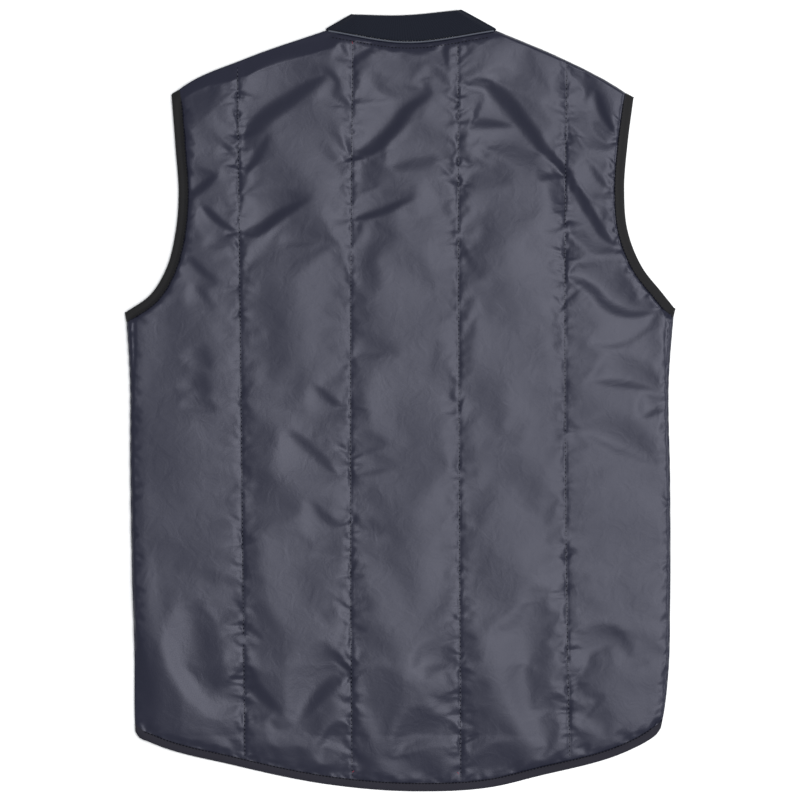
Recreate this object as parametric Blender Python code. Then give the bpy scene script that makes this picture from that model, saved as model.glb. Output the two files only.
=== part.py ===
"""Quilted sleeveless vest with a rib collar and bound edges, laid out flat with its back upwards.

Metres, +Z up. X runs across the vest, Y from the hem to the collar, and the vest lies on Z = 0.
The origin is under the middle of its box. The two fronts lie face down, and the back lies on them.
"""

import math
from collections import namedtuple

import bmesh
import bpy
import numpy as np

# Layers, measured up from the surface that the vest lies on
SEAM_GAP = 0.0003
FRONT_TOP = 0.0040
FOLD_HEIGHT = FRONT_TOP + SEAM_GAP / 2
BACK_INSIDE = FRONT_TOP + SEAM_GAP
SEAM_LOFT = 0.0022
CHANNEL_LOFT = 0.0078
LEAST_LOFT = 0.0012
FLATNESS = 1e-7
LOFT_ROUNDNESS = 0.45
END_EASE = 0.034

# Binding tape, folded over the armhole and hem edges
TAPE = 0.0010
BOUND_WALL = 0.0014
TAPE_REACH = SEAM_GAP + TAPE
ARMHOLE_TAPE_WIDTH = 0.0100
HEM_TAPE_WIDTH = 0.0085
ARMHOLE_BORDER = ARMHOLE_TAPE_WIDTH - TAPE_REACH
HEM_BORDER = HEM_TAPE_WIDTH - TAPE_REACH
TOP_BORDER = 0.0100
UNDERARM_STEP = 0.0110
UNDERARM_MITRE = 0.25
FOLD_INSET = 0.0035
TURN_STEPS = 4

# Rib collar and the piping in the back neck seam
COLLAR_WALL = 0.0030
COLLAR_CHAMFER = 0.0008
COLLAR_DEPTH_FRONT = 0.0300
PIPING_RADIUS = 0.0011
PIPING_ROOM = 0.0014
PIPING_LIFT = 0.0024
NECK_CLEAR = 0.0002
FRONT_NECK_DROP = 0.0940
BACK_NECK_SAG = 0.0026
NECK_STATIONS = 20
NECK_END_SHARE = 0.06

# Front opening: an inner placket strip with press studs
FRONT_HEM_UP = -0.3437
OPENING_HALF_GAP = 0.0002
STEP_START = 0.0210
STEP_END = 0.0165
THIN_FRONT_LOW = 0.00125
THIN_FRONT_HIGH = 0.0025
PLACKET_HALF_WIDTH = 0.0150
PLACKET_LOW = 0.0028
PLACKET_END_CLEAR = 0.0150
STUD_RADIUS = 0.0060
STUD_HEIGHT = 0.00085
STUD_LIFT = 0.0001
STUD_FROM_EDGE = 0.0090
STUD_COUNT = 5
STUD_FIRST_UP = 0.2550
STUD_LAST_UP = -0.3150
STUD_SIDES = 24

# The tail of the back is longer than the fronts and drops to the surface beyond them
TAIL_START = FRONT_HEM_UP - 0.0120
TAIL_RUN = 0.0300
TAIL_DROP = BACK_INSIDE

# Grid of the back: columns in each quilting channel, rows up the sides and the armholes
CHANNEL_COLUMNS = 8
SIDE_ROWS = 26
ARMHOLE_ROWS = 16
ROWS = SIDE_ROWS + ARMHOLE_ROWS
FRONT_COLUMNS = 8
FRONT_NECK_ROWS = 10
UNDERARM_LEVEL = 0.0750

# Outline of the finished vest. Each row gives both sides: out from the middle, and up
EdgePoint = namedtuple("EdgePoint", "place left_out left_up right_out right_up")
SIDE_EDGE = (
    EdgePoint("hem corner", 0.2667, -0.3437, 0.2621, -0.3402),
    EdgePoint("above the corner", 0.2703, -0.3279, 0.2688, -0.3218),
    EdgePoint("low side", 0.2708, -0.2647, 0.2739, -0.2769),
    EdgePoint("hip", 0.2734, -0.1729, 0.2757, -0.2035),
    EdgePoint("waist", 0.2751, -0.0607, 0.2757, -0.0811),
    EdgePoint("ribs", 0.2756, 0.0260, 0.2744, 0.0230),
    EdgePoint("underarm", 0.2795, 0.0903, 0.2798, 0.0944),
)
ARMHOLE_EDGE = (
    EdgePoint("underarm", 0.2795, 0.0903, 0.2798, 0.0944),
    EdgePoint("underarm curve", 0.2550, 0.1076, 0.2672, 0.1102),
    EdgePoint("lower curve", 0.2387, 0.1341, 0.2479, 0.1346),
    EdgePoint("upper curve", 0.2290, 0.1719, 0.2326, 0.1719),
    EdgePoint("narrowest", 0.2259, 0.2076, 0.2288, 0.2147),
    EdgePoint("shoulder blade", 0.2290, 0.2576, 0.2321, 0.2606),
    EdgePoint("shoulder tip", 0.2331, 0.3096, 0.2382, 0.3075),
)
SHOULDER_EDGE = (
    EdgePoint("shoulder tip", 0.2331, 0.3111, 0.2382, 0.3075),
    EdgePoint("past the tape", 0.2234, 0.3188, 0.2224, 0.3188),
    EdgePoint("middle", 0.1561, 0.3494, 0.1642, 0.3494),
    EdgePoint("neck point", 0.0755, 0.3769, 0.0979, 0.3769),
)
COLLAR_FOLD_TOP = EdgePoint("collar fold, free edge", 0.0480, 0.3930, 0.0595, 0.3966)

CurvePoint = namedtuple("CurvePoint", "x y")
NECK_LOW = CurvePoint(0.0060, 0.3655)
COLLAR_TOP_MIDDLE = CurvePoint(0.0020, 0.3932)
HEM_EDGE = (
    CurvePoint(-0.2667, -0.3437),
    CurvePoint(-0.2545, -0.3497),
    CurvePoint(-0.1693, -0.3723),
    CurvePoint(-0.0714, -0.3922),
    CurvePoint(0.0143, -0.3990),
    CurvePoint(0.1000, -0.3935),
    CurvePoint(0.1367, -0.3845),
    CurvePoint(0.2346, -0.3560),
    CurvePoint(0.2621, -0.3402),
)

QuiltLine = namedtuple("QuiltLine", "place hem_x top_x sway")
QUILT_LINES = (
    QuiltLine("left side", -0.1581, -0.1658, 0.0000),
    QuiltLine("left of middle", -0.0488, -0.0480, -0.0020),
    QuiltLine("right of middle", 0.0622, 0.0592, -0.0005),
    QuiltLine("right side", 0.1734, 0.1703, -0.0035),
)
CHANNELS = len(QUILT_LINES) + 1
COLUMNS = CHANNELS * CHANNEL_COLUMNS

# Columns of the top edge that end on the left and right neck points
LEFT_NECK_COLUMN = CHANNEL_COLUMNS + 6
RIGHT_NECK_COLUMN = 3 * CHANNEL_COLUMNS + 3

# The largest folds in the back, from start to end through a middle point
Fold = namedtuple("Fold", "place start_x start_y middle_x middle_y end_x end_y width depth")
FOLDS = (
    Fold("left shoulder", -0.1600, 0.2555, -0.1275, 0.2940, -0.0714, 0.3310, 0.014, 0.0032),
    Fold("left armhole", -0.2010, 0.1984, -0.1785, 0.1800, -0.1610, 0.1708, 0.010, 0.0026),
    Fold("left blade", -0.1600, 0.1708, -0.1346, 0.1800, -0.1010, 0.2025, 0.012, 0.0030),
    Fold("middle of the yoke", -0.0490, 0.2484, -0.0122, 0.2657, 0.0245, 0.3086, 0.012, 0.0032),
    Fold("across the blades", -0.0122, 0.2382, 0.0204, 0.2453, 0.0592, 0.2402, 0.011, 0.0022),
    Fold("right shoulder", 0.0775, 0.3218, 0.1275, 0.2912, 0.1663, 0.2402, 0.013, 0.0034),
    Fold("right armhole", 0.1673, 0.2402, 0.1938, 0.2045, 0.2193, 0.1607, 0.011, 0.0030),
    Fold("right underarm", 0.1765, 0.1148, 0.2162, 0.0903, 0.2570, 0.0903, 0.010, 0.0028),
    Fold("right ribs", 0.2010, 0.0189, 0.2346, 0.0158, 0.2620, 0.0077, 0.010, 0.0026),
    Fold("right waist", 0.1887, -0.0352, 0.2193, -0.0505, 0.2570, -0.0638, 0.010, 0.0018),
    Fold("left of the waist", -0.1122, -0.0321, -0.0867, -0.0556, -0.0632, -0.0780, 0.012, 0.0016),
    Fold("left hip", -0.2162, -0.2035, -0.1989, -0.2647, -0.1600, -0.3024, 0.013, 0.0026),
    Fold("left of the tail", -0.0510, -0.2760, -0.0734, -0.2953, -0.0980, -0.3239, 0.013, 0.0028),
    Fold("tail", 0.0051, -0.3585, 0.0255, -0.3463, 0.0592, -0.3473, 0.010, 0.0022),
    Fold("right hip", 0.1887, -0.3340, 0.2101, -0.3055, 0.2326, -0.2667, 0.011, 0.0024),
)

# Colours, linear, with roughness
NYLON = ((0.032, 0.035, 0.055), 0.42)
RIB_KNIT = ((0.012, 0.015, 0.026), 0.95)
TAPE_CLOTH = ((0.012, 0.012, 0.013), 0.80)
PIPING_CLOTH = ((0.110, 0.120, 0.160), 0.50)
STUD_METAL = ((0.030, 0.030, 0.034), 0.35)

LEFT, RIGHT = -1, 1
BACK_UP, FRONT_DOWN = 1, -1
Panel = namedtuple("Panel", "plan inside outside")


# Curves and grids in the plan

def smooth_curve(points, steps=16):
    """A dense line on a smooth curve through the points."""
    points = np.asarray(points, float)
    knots = np.concatenate([[0.0], np.cumsum(np.linalg.norm(np.diff(points, axis=0), axis=1))])
    slopes = np.gradient(points, knots, axis=0)
    at = np.linspace(0.0, knots[-1], steps * (len(points) - 1) + 1)
    span = np.clip(np.searchsorted(knots, at, side="right") - 1, 0, len(knots) - 2)
    length = (knots[span + 1] - knots[span])[:, None]
    t = (at - knots[span])[:, None] / length
    return (
        (1 + 2 * t) * (1 - t) ** 2 * points[span]
        + t * (1 - t) ** 2 * length * slopes[span]
        + t**2 * (3 - 2 * t) * points[span + 1]
        + t**2 * (t - 1) * length * slopes[span + 1]
    )


def lengths_along(line):
    return np.concatenate([[0.0], np.cumsum(np.linalg.norm(np.diff(line, axis=0), axis=1))])


def points_at(line, distances):
    """The points at these distances along a line."""
    along = lengths_along(line)
    return np.stack([np.interp(distances, along, line[:, k]) for k in range(line.shape[1])], axis=1)


def spaced(line, cells, first=None, last=None):
    """Points that cut a line into cells, with the first and last cell of a given length."""
    total = lengths_along(line)[-1]
    even = total / cells
    first = even if first is None else first
    last = even if last is None else last
    middle = np.linspace(first, total - last, cells - 1)
    return points_at(line, np.concatenate([[0.0], middle, [total]]))


def left_normals(line):
    """Unit normals on the left of a line, in the plan."""
    along = np.gradient(line, axis=0)
    along /= np.linalg.norm(along, axis=1)[:, None]
    return np.stack([-along[:, 1], along[:, 0]], axis=1)


def coons(left, right, bottom, top):
    """Points filled in between four edges, as columns of rows."""
    across = lengths_along(bottom) / lengths_along(bottom)[-1]
    up = lengths_along(right) / lengths_along(right)[-1]
    s, t = across[:, None, None], up[None, :, None]
    sides = (1 - s) * left[None] + s * right[None]
    ends = (1 - t) * bottom[:, None] + t * top[:, None]
    corners = (1 - s) * ((1 - t) * bottom[0] + t * top[0]) + s * ((1 - t) * bottom[-1] + t * top[-1])
    return sides + ends - corners


def smoothstep(value):
    value = np.clip(value, 0.0, 1.0)
    return value * value * (3 - 2 * value)


def edge_points(rows, side):
    """One side of an outline table, as points from the hem upwards or from the tip inwards."""
    if side == LEFT:
        return [(-row.left_out, row.left_up) for row in rows]
    return [(row.right_out, row.right_up) for row in rows]


# Outline of the panels

def side_edge(side):
    """The panel's edge from the hem corner past the underarm to the shoulder tip, one point a row."""
    low = spaced(smooth_curve(edge_points(SIDE_EDGE, side)), SIDE_ROWS, HEM_BORDER, UNDERARM_STEP)
    for row in (0, 1, SIDE_ROWS - 1):
        low[row, 0] -= side * FOLD_INSET
    high = spaced(smooth_curve(edge_points(ARMHOLE_EDGE, side)), ARMHOLE_ROWS, last=ARMHOLE_BORDER)
    high += side * TAPE_REACH * left_normals(high)
    high[0, 0] -= side * (FOLD_INSET - TAPE_REACH)
    return np.vstack([low[:-1], high])


def shoulder_edge(side, cells):
    """The shoulder fold from the tip to the neck point, lowered under the armhole tape's fold."""
    line = spaced(smooth_curve(edge_points(SHOULDER_EDGE, side)), cells, first=ARMHOLE_BORDER)
    lowered = side * FOLD_INSET * left_normals(line)
    line[:2] += lowered[:2]
    return line


def neck_seam(stations):
    """The back neck seam from the left neck point to the right one."""
    left = edge_points(SHOULDER_EDGE, LEFT)[-1]
    right = edge_points(SHOULDER_EDGE, RIGHT)[-1]
    return spaced(smooth_curve([left, NECK_LOW, right], 32), stations)


def piping_room(stations):
    """Half the room that the piping takes in the seam, closing at both neck points."""
    share = np.linspace(0.0, 1.0, stations + 1)
    ends = smoothstep(np.minimum(share, 1 - share) / NECK_END_SHARE)
    return NECK_CLEAR + (PIPING_ROOM - NECK_CLEAR) * ends


def hem_edge():
    """The back's hem edge inside its tape, one point a column, with the quilting lines on columns."""
    line = smooth_curve(HEM_EDGE)
    along = lengths_along(line)
    stops = [0.0] + [np.interp(q.hem_x, line[:, 0], along) for q in QUILT_LINES] + [along[-1]]
    at = [np.linspace(a, b, CHANNEL_COLUMNS + 1)[:-1] for a, b in zip(stops, stops[1:])]
    at = np.concatenate(at + [[along[-1]]])
    at[1] = ARMHOLE_BORDER
    at[2:CHANNEL_COLUMNS] = np.linspace(at[1], at[CHANNEL_COLUMNS], CHANNEL_COLUMNS)[1:-1]
    at[-2] = along[-1] - ARMHOLE_BORDER
    at[-CHANNEL_COLUMNS:-2] = np.linspace(at[-CHANNEL_COLUMNS - 1], at[-2], CHANNEL_COLUMNS)[1:-1]
    edge = points_at(line, at)
    return edge + TAPE_REACH * left_normals(edge)


def top_edge():
    """The back's top edge: left shoulder, neck and right shoulder, one point a column."""
    def cut_at(line, x):
        return np.interp(x, line[:, 0], lengths_along(line))

    left = smooth_curve(edge_points(SHOULDER_EDGE, LEFT))
    right = smooth_curve(edge_points(SHOULDER_EDGE, RIGHT))[::-1]
    neck = neck_seam(200)
    neck = neck - piping_room(200)[:, None] * left_normals(neck)
    tops = [q.top_x for q in QUILT_LINES]
    left_cut, right_cut = cut_at(left, tops[0]), cut_at(right, tops[3])
    left_end, neck_end, right_end = (lengths_along(line)[-1] for line in (left, neck, right))
    inner_left = np.linspace(left_cut, left_end, LEFT_NECK_COLUMN - CHANNEL_COLUMNS + 1)
    outer_left = np.linspace(ARMHOLE_BORDER, left_cut, CHANNEL_COLUMNS)
    inner_right = np.linspace(0.0, right_cut, 4 * CHANNEL_COLUMNS - RIGHT_NECK_COLUMN + 1)
    outer_right = np.linspace(right_cut, right_end - ARMHOLE_BORDER, CHANNEL_COLUMNS)
    neck_stops = [
        np.linspace(0.0, cut_at(neck, tops[1]), 2 * CHANNEL_COLUMNS - LEFT_NECK_COLUMN + 1),
        np.linspace(cut_at(neck, tops[1]), cut_at(neck, tops[2]), CHANNEL_COLUMNS + 1)[1:],
        np.linspace(cut_at(neck, tops[2]), neck_end, RIGHT_NECK_COLUMN - 3 * CHANNEL_COLUMNS + 1)[1:],
    ]
    edge = np.vstack([
        points_at(left, np.concatenate([[0.0], outer_left, inner_left[1:]])),
        points_at(neck, np.concatenate(neck_stops))[1:-1],
        points_at(right, np.concatenate([inner_right, outer_right[1:], [right_end]])),
    ])
    lowered = FOLD_INSET * left_normals(edge)
    edge[:2] -= lowered[:2]
    edge[-2:] -= lowered[-2:]
    return edge


def quilt_column(line, low, high):
    """The points of one quilting line, one a row, from just above the hem to just below the top."""
    up = np.concatenate([
        np.linspace(low[1], UNDERARM_LEVEL, SIDE_ROWS),
        np.linspace(UNDERARM_LEVEL, high[1], ARMHOLE_ROWS)[1:],
    ])
    share = (up - low[1]) / (high[1] - low[1])
    x = low[0] + share * (high[0] - low[0]) + line.sway * 4 * share * (1 - share)
    return np.stack([x, up], axis=1)


def inset_ring(left, right, bottom, top):
    """The four edges moved in by the width of their borders, with shared corners."""
    inner_left = left[1:-1] - ARMHOLE_BORDER * left_normals(left)[1:-1]
    inner_right = right[1:-1] + ARMHOLE_BORDER * left_normals(right)[1:-1]
    inner_bottom, inner_top = bottom[1:-1].copy(), top[1:-1].copy()
    inner_bottom[:, 1] += HEM_BORDER / left_normals(bottom)[1:-1, 1]
    inner_top[:, 1] -= TOP_BORDER / left_normals(top)[1:-1, 1]
    inner_left[SIDE_ROWS - 1] += UNDERARM_MITRE * (inner_left[SIDE_ROWS - 1] - left[SIDE_ROWS])
    inner_right[SIDE_ROWS - 1] += UNDERARM_MITRE * (inner_right[SIDE_ROWS - 1] - right[SIDE_ROWS])
    inner_bottom[0] = inner_left[0] = left[1] + bottom[1] - left[0]
    inner_bottom[-1] = inner_right[0] = right[1] + bottom[-2] - right[0]
    inner_top[0] = inner_left[-1] = left[-2] + top[1] - left[-1]
    inner_top[-1] = inner_right[-1] = right[-2] + top[-2] - right[-1]
    return inner_left, inner_right, inner_bottom, inner_top


def back_plan():
    """The back's points in the plan: columns across, rows up, with a border cell all round."""
    left, right = side_edge(LEFT), side_edge(RIGHT)
    bottom, top = hem_edge(), top_edge()
    bottom[0], bottom[-1], top[0], top[-1] = left[0], right[0], left[-1], right[-1]
    inner_left, inner_right, inner_bottom, inner_top = inset_ring(left, right, bottom, top)
    plan = np.zeros((COLUMNS + 1, ROWS + 1, 2))
    plan[0], plan[-1], plan[:, 0], plan[:, -1] = left, right, bottom, top
    stops = [1] + [CHANNEL_COLUMNS * (k + 1) for k in range(len(QUILT_LINES))] + [COLUMNS - 1]
    uprights = [inner_left]
    for line, column in zip(QUILT_LINES, stops[1:-1]):
        uprights.append(quilt_column(line, inner_bottom[column - 1], inner_top[column - 1]))
    uprights.append(inner_right)
    for k in range(CHANNELS):
        a, b = stops[k], stops[k + 1]
        plan[a : b + 1, 1:-1] = coons(
            uprights[k], uprights[k + 1], inner_bottom[a - 1 : b], inner_top[a - 1 : b]
        )
    return plan


# Heights

def settled(plan):
    """How far the back drops below its layer, where no front lies under it: the tail and the neck."""
    x, y = plan[..., 0], plan[..., 1]
    tail = TAIL_DROP * smoothstep((TAIL_START - y) / TAIL_RUN)
    middle = (COLLAR_FOLD_TOP.right_out - COLLAR_FOLD_TOP.left_out) / 2
    half_width = (COLLAR_FOLD_TOP.right_out + COLLAR_FOLD_TOP.left_out) / 2
    depth = FRONT_NECK_DROP - COLLAR_DEPTH_FRONT
    away = ((x - middle) / half_width) ** 2 + ((y - COLLAR_TOP_MIDDLE.y) / depth) ** 2
    return tail + BACK_NECK_SAG * smoothstep(1 - away)


def fold_depth(plan):
    """How far the folds press the outside of the back in."""
    points = plan.reshape(-1, 2)
    depth = np.zeros(len(points))
    for fold in FOLDS:
        line = smooth_curve([
            (fold.start_x, fold.start_y), (fold.middle_x, fold.middle_y), (fold.end_x, fold.end_y)
        ])
        apart = np.linalg.norm(points[:, None] - line[None], axis=2)
        share = apart.argmin(axis=1) / (len(line) - 1)
        taper = smoothstep(4 * np.minimum(share, 1 - share) + 0.25)
        depth = np.maximum(depth, fold.depth * taper * np.exp(-((apart.min(axis=1) / fold.width) ** 2)))
    return depth.reshape(plan.shape[:2])


def channel_dome():
    """The rise of the padding between the quilting lines: 0 on a line or an edge, 1 in the middle."""
    share = np.arange(CHANNEL_COLUMNS + 1) / CHANNEL_COLUMNS
    dome = (4 * share * (1 - share)) ** LOFT_ROUNDNESS
    return np.concatenate([np.tile(dome[:-1], CHANNELS), [0.0]])


def back_shape():
    plan = back_plan()
    bottom, top = plan[:, 0, 1], plan[:, -1, 1]
    from_ends = np.minimum(plan[..., 1] - bottom[:, None], top[:, None] - plan[..., 1])
    loft = SEAM_LOFT + (CHANNEL_LOFT - SEAM_LOFT) * channel_dome()[:, None] * smoothstep(
        from_ends / END_EASE
    )
    loft = np.maximum(loft - fold_depth(plan), LEAST_LOFT)
    inside = BACK_INSIDE - settled(plan)
    inside[:, 1] = inside[:, 0]
    bound = bound_points(COLUMNS)
    inside = np.where(bound, inside + TAPE_REACH, inside)
    loft = np.where(bound, BOUND_WALL, loft)
    return Panel(plan, inside, inside + loft)


def bound_points(columns, both_sides=True):
    """Which points of a panel lie between the two legs of a binding tape."""
    bound = np.zeros((columns + 1, ROWS + 1), bool)
    bound[:, :2] = True
    bound[:2, SIDE_ROWS - 1 :] = True
    if both_sides:
        bound[-2:, SIDE_ROWS - 1 :] = True
    return bound


def front_neckline(side, clear):
    """The front neck seam from the middle opening up to the neck point, moved out by clear."""
    neck_x, neck_y = edge_points(SHOULDER_EDGE, side)[-1]
    return quarter_arc(side, neck_x + side * clear, neck_y, FRONT_NECK_DROP + clear)


def quarter_arc(side, top_x, top_y, drop):
    """A quarter of an ellipse from the middle opening up to a point on the shoulder fold."""
    angle = np.linspace(math.pi / 2, 0.0, 65)
    x = side * np.maximum(side * top_x * np.cos(angle), OPENING_HALF_GAP)
    line = np.stack([x, top_y - drop * np.sin(angle)], axis=1)
    return spaced(line, FRONT_NECK_ROWS)


def front_shape(side, back):
    """One front, lying face down: its outside is the flat side that rests on the surface."""
    edge = back.plan[0 if side == LEFT else -1]
    border = back.plan[1 if side == LEFT else -2]
    neckline = front_neckline(side, NECK_CLEAR)
    opening = np.array([(side * OPENING_HALF_GAP, FRONT_HEM_UP), neckline[0]])
    middle = np.vstack([
        spaced(opening, ROWS - FRONT_NECK_ROWS, HEM_BORDER, HEM_BORDER),
        neckline[1:],
    ])
    across = np.concatenate([
        np.linspace(edge[0, 0], side * STEP_START, FRONT_COLUMNS - 1), [side * STEP_END], [middle[0, 0]]
    ])
    across[1] = border[0, 0]
    across[2 : FRONT_COLUMNS - 1] = np.linspace(border[0, 0], side * STEP_START, FRONT_COLUMNS - 2)[1:]
    hem = np.stack([across, np.full(FRONT_COLUMNS + 1, FRONT_HEM_UP)], axis=1)
    hem[0] = edge[0]
    shoulder = shoulder_edge(side, FRONT_COLUMNS)
    shoulder[0], shoulder[1], shoulder[-1] = edge[-1], border[-1], middle[-1]
    plan = np.zeros((FRONT_COLUMNS + 1, ROWS + 1, 2))
    plan[0], plan[1], plan[-1], plan[:, 0], plan[:, -1] = edge, border, middle, hem, shoulder
    row_one, row_end = hem[1:] + (0.0, HEM_BORDER), shoulder[1:] - (0.0, TOP_BORDER)
    row_one[0], row_end[0] = border[1], border[-2]
    row_one[-1], row_end[-1] = middle[1], middle[-2]
    plan[1:, 1:-1] = coons(border[1:-1], middle[1:-1], row_one, row_end)
    outside = np.zeros(plan.shape[:2])
    inside = np.full(plan.shape[:2], FRONT_TOP)
    outside[0] = outside[:, -1] = FRONT_TOP - SEAM_LOFT
    opening_rows = slice(2, ROWS - FRONT_NECK_ROWS)
    outside[-2:, opening_rows], inside[-2:, opening_rows] = THIN_FRONT_LOW, THIN_FRONT_HIGH
    bound = bound_points(FRONT_COLUMNS, both_sides=False)
    outside = np.where(bound, TAPE_REACH, outside)
    inside = np.where(bound, TAPE_REACH + BOUND_WALL, inside)
    return Panel(plan, inside, outside)


# Solids

def new_piece(name, bm, finish, collection):
    """A named object from a bmesh, with a material of its own."""
    bmesh.ops.recalc_face_normals(bm, faces=bm.faces)
    mesh = bpy.data.meshes.new(name)
    bm.to_mesh(mesh)
    bm.free()
    mesh.shade_smooth()
    mesh.set_sharp_from_angle(angle=math.radians(50))
    piece = bpy.data.objects.new(name, mesh)
    collection.objects.link(piece)
    mesh.materials.append(new_material(name, finish))
    return piece


def new_material(name, finish):
    colour, roughness = finish
    material = bpy.data.materials.new(name)
    material.use_nodes = True
    shader = material.node_tree.nodes["Principled BSDF"]
    shader.inputs["Base Color"].default_value = (*colour, 1.0)
    shader.inputs["Roughness"].default_value = roughness
    shader.inputs["Metallic"].default_value = 0.0
    return material


def panel_solid(name, panel, flat_levels, finish, collection):
    """A wall between a panel's inside and its outside, with the flat part at each level merged."""
    columns, rows = panel.plan.shape[0] - 1, panel.plan.shape[1] - 1
    bm = bmesh.new()
    bmesh.ops.create_grid(bm, x_segments=columns, y_segments=rows, size=1.0)
    column = bm.verts.layers.int.new("column")
    row = bm.verts.layers.int.new("row")
    for vert in bm.verts:
        vert[column] = round((vert.co.x + 1) / 2 * columns)
        vert[row] = round((vert.co.y + 1) / 2 * rows)
    made = bmesh.ops.extrude_face_region(bm, geom=bm.faces[:])["geom"]
    outside_verts = {v for v in made if isinstance(v, bmesh.types.BMVert)}
    for vert in bm.verts:
        place = (vert[column], vert[row])
        height = panel.outside if vert in outside_verts else panel.inside
        vert.co = (*panel.plan[place], height[place])
    for level in flat_levels:
        flat = [f for f in bm.faces if all(abs(v.co.z - level) < FLATNESS for v in f.verts)]
        bmesh.ops.dissolve_faces(bm, faces=flat, use_verts=False)
    return new_piece(name, bm, finish, collection)


def loft_solid(name, rings, closed, finish, collection):
    """A solid through rings of points: joined end to end, or capped at both ends."""
    bm = bmesh.new()
    made = [[bm.verts.new(point) for point in ring] for ring in rings]
    count = len(rings[0])
    for first, second in zip(made, made[1:] + made[:1] if closed else made[1:]):
        for k in range(count):
            after = (k + 1) % count
            bm.faces.new((first[k], first[after], second[after], second[k]))
    if not closed:
        bm.faces.new(made[0])
        bm.faces.new(made[-1])
    return new_piece(name, bm, finish, collection)


def tape_ring(panel, edge, border, up):
    """The section of a tape folded over a panel's edge, from the end of one leg round to the other."""
    start, end = panel.plan[border], panel.plan[edge]
    out = (end - start) / np.linalg.norm(end - start)
    outside = (panel.outside[border], panel.outside[edge])
    inside = (panel.inside[border], panel.inside[edge])
    lip, face = end + out * SEAM_GAP, end + out * TAPE_REACH
    corners = (
        (start, outside[0] + up * TAPE_REACH),
        (end, outside[1] + up * TAPE_REACH),
        (face, outside[1] + up * SEAM_GAP),
        (face, inside[1] - up * SEAM_GAP),
        (end, inside[1] - up * TAPE_REACH),
        (start, inside[0] - up * TAPE_REACH),
        (start, inside[0] - up * SEAM_GAP),
        (lip, inside[1] - up * SEAM_GAP),
        (lip, outside[1] + up * SEAM_GAP),
        (start, outside[0] + up * SEAM_GAP),
    )
    return np.array([(*place, height) for place, height in corners])


def fold_over(ring, onward):
    """The rings that turn a section over a fold, onward and down or up to the other layer."""
    chord = ring[:, :2] - ring[0, :2]
    axis = chord[np.linalg.norm(chord, axis=1).argmax()]
    axis = axis / np.linalg.norm(axis)
    away = onward - axis * (onward @ axis)
    away = away / np.linalg.norm(away)
    turned = []
    for angle in np.linspace(0.0, math.pi, TURN_STEPS + 1)[1:-1]:
        rise = ring[:, 2] - FOLD_HEIGHT
        step = ring.copy()
        step[:, :2] += np.abs(rise)[:, None] * math.sin(angle) * away
        step[:, 2] = FOLD_HEIGHT + rise * math.cos(angle)
        turned.append(step)
    return turned


def mirrored(ring):
    """A section of the back's layer as it is on the front's layer."""
    return ring * (1, 1, -1) + (0, 0, 2 * FOLD_HEIGHT)


def armhole_rings(back, side):
    """A closed strip round one armhole: up the back, over the shoulder, down the front, round the side."""
    edge, border = (0, 1) if side == LEFT else (COLUMNS, COLUMNS - 1)
    up_back = [tape_ring(back, (edge, SIDE_ROWS), (edge, SIDE_ROWS - 1), BACK_UP)]
    for row in range(SIDE_ROWS + 1, ROWS + 1):
        up_back.append(tape_ring(back, (edge, row), (border, row), BACK_UP))
    plan = back.plan[edge]
    over = fold_over(up_back[-1], plan[ROWS] - plan[ROWS - 1])
    down_front = [mirrored(ring) for ring in reversed(up_back)]
    under = fold_over(down_front[-1], plan[SIDE_ROWS] - plan[SIDE_ROWS + 1])
    return up_back + over + down_front + under


def hem_rings(back, fronts):
    """One strip from the opening round the left front, the back and the right front."""
    def front_rings(front):
        rings = [tape_ring(front, (k, 0), (k, 1), FRONT_DOWN) for k in range(1, FRONT_COLUMNS + 1)]
        return [tape_ring(front, (0, 0), (0, 1), FRONT_DOWN)] + rings

    across = [tape_ring(back, (0, 0), (0, 1), BACK_UP)]
    across += [tape_ring(back, (k, 0), (k, 1), BACK_UP) for k in range(1, COLUMNS)]
    across += [tape_ring(back, (COLUMNS, 0), (COLUMNS, 1), BACK_UP)]
    left, right = front_rings(fronts[LEFT]), front_rings(fronts[RIGHT])
    left_turn = fold_over(left[0], np.array((LEFT, 0.0)))
    right_turn = fold_over(across[-1], np.array((RIGHT, 0.0)))
    return left[::-1] + left_turn + across + right_turn + right


def collar_ring(seam, free, drop, up):
    """The section of the collar band from its seam to its free edge."""
    along = (free - seam) / np.linalg.norm(free - seam)
    inside = FOLD_HEIGHT + up * SEAM_GAP / 2
    outside = inside + up * COLLAR_WALL
    near, far = seam + along * COLLAR_CHAMFER, free - along * COLLAR_CHAMFER
    chamfer = up * COLLAR_CHAMFER
    corners = (
        (seam, inside + chamfer), (seam, outside - chamfer), (near, outside), (far, outside),
        (free, outside - chamfer), (free, inside + chamfer), (far, inside), (near, inside),
    )
    ring = np.array([(*place, height) for place, height in corners])
    ring[:, 2] -= drop(ring[:, :2])
    return ring


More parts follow.
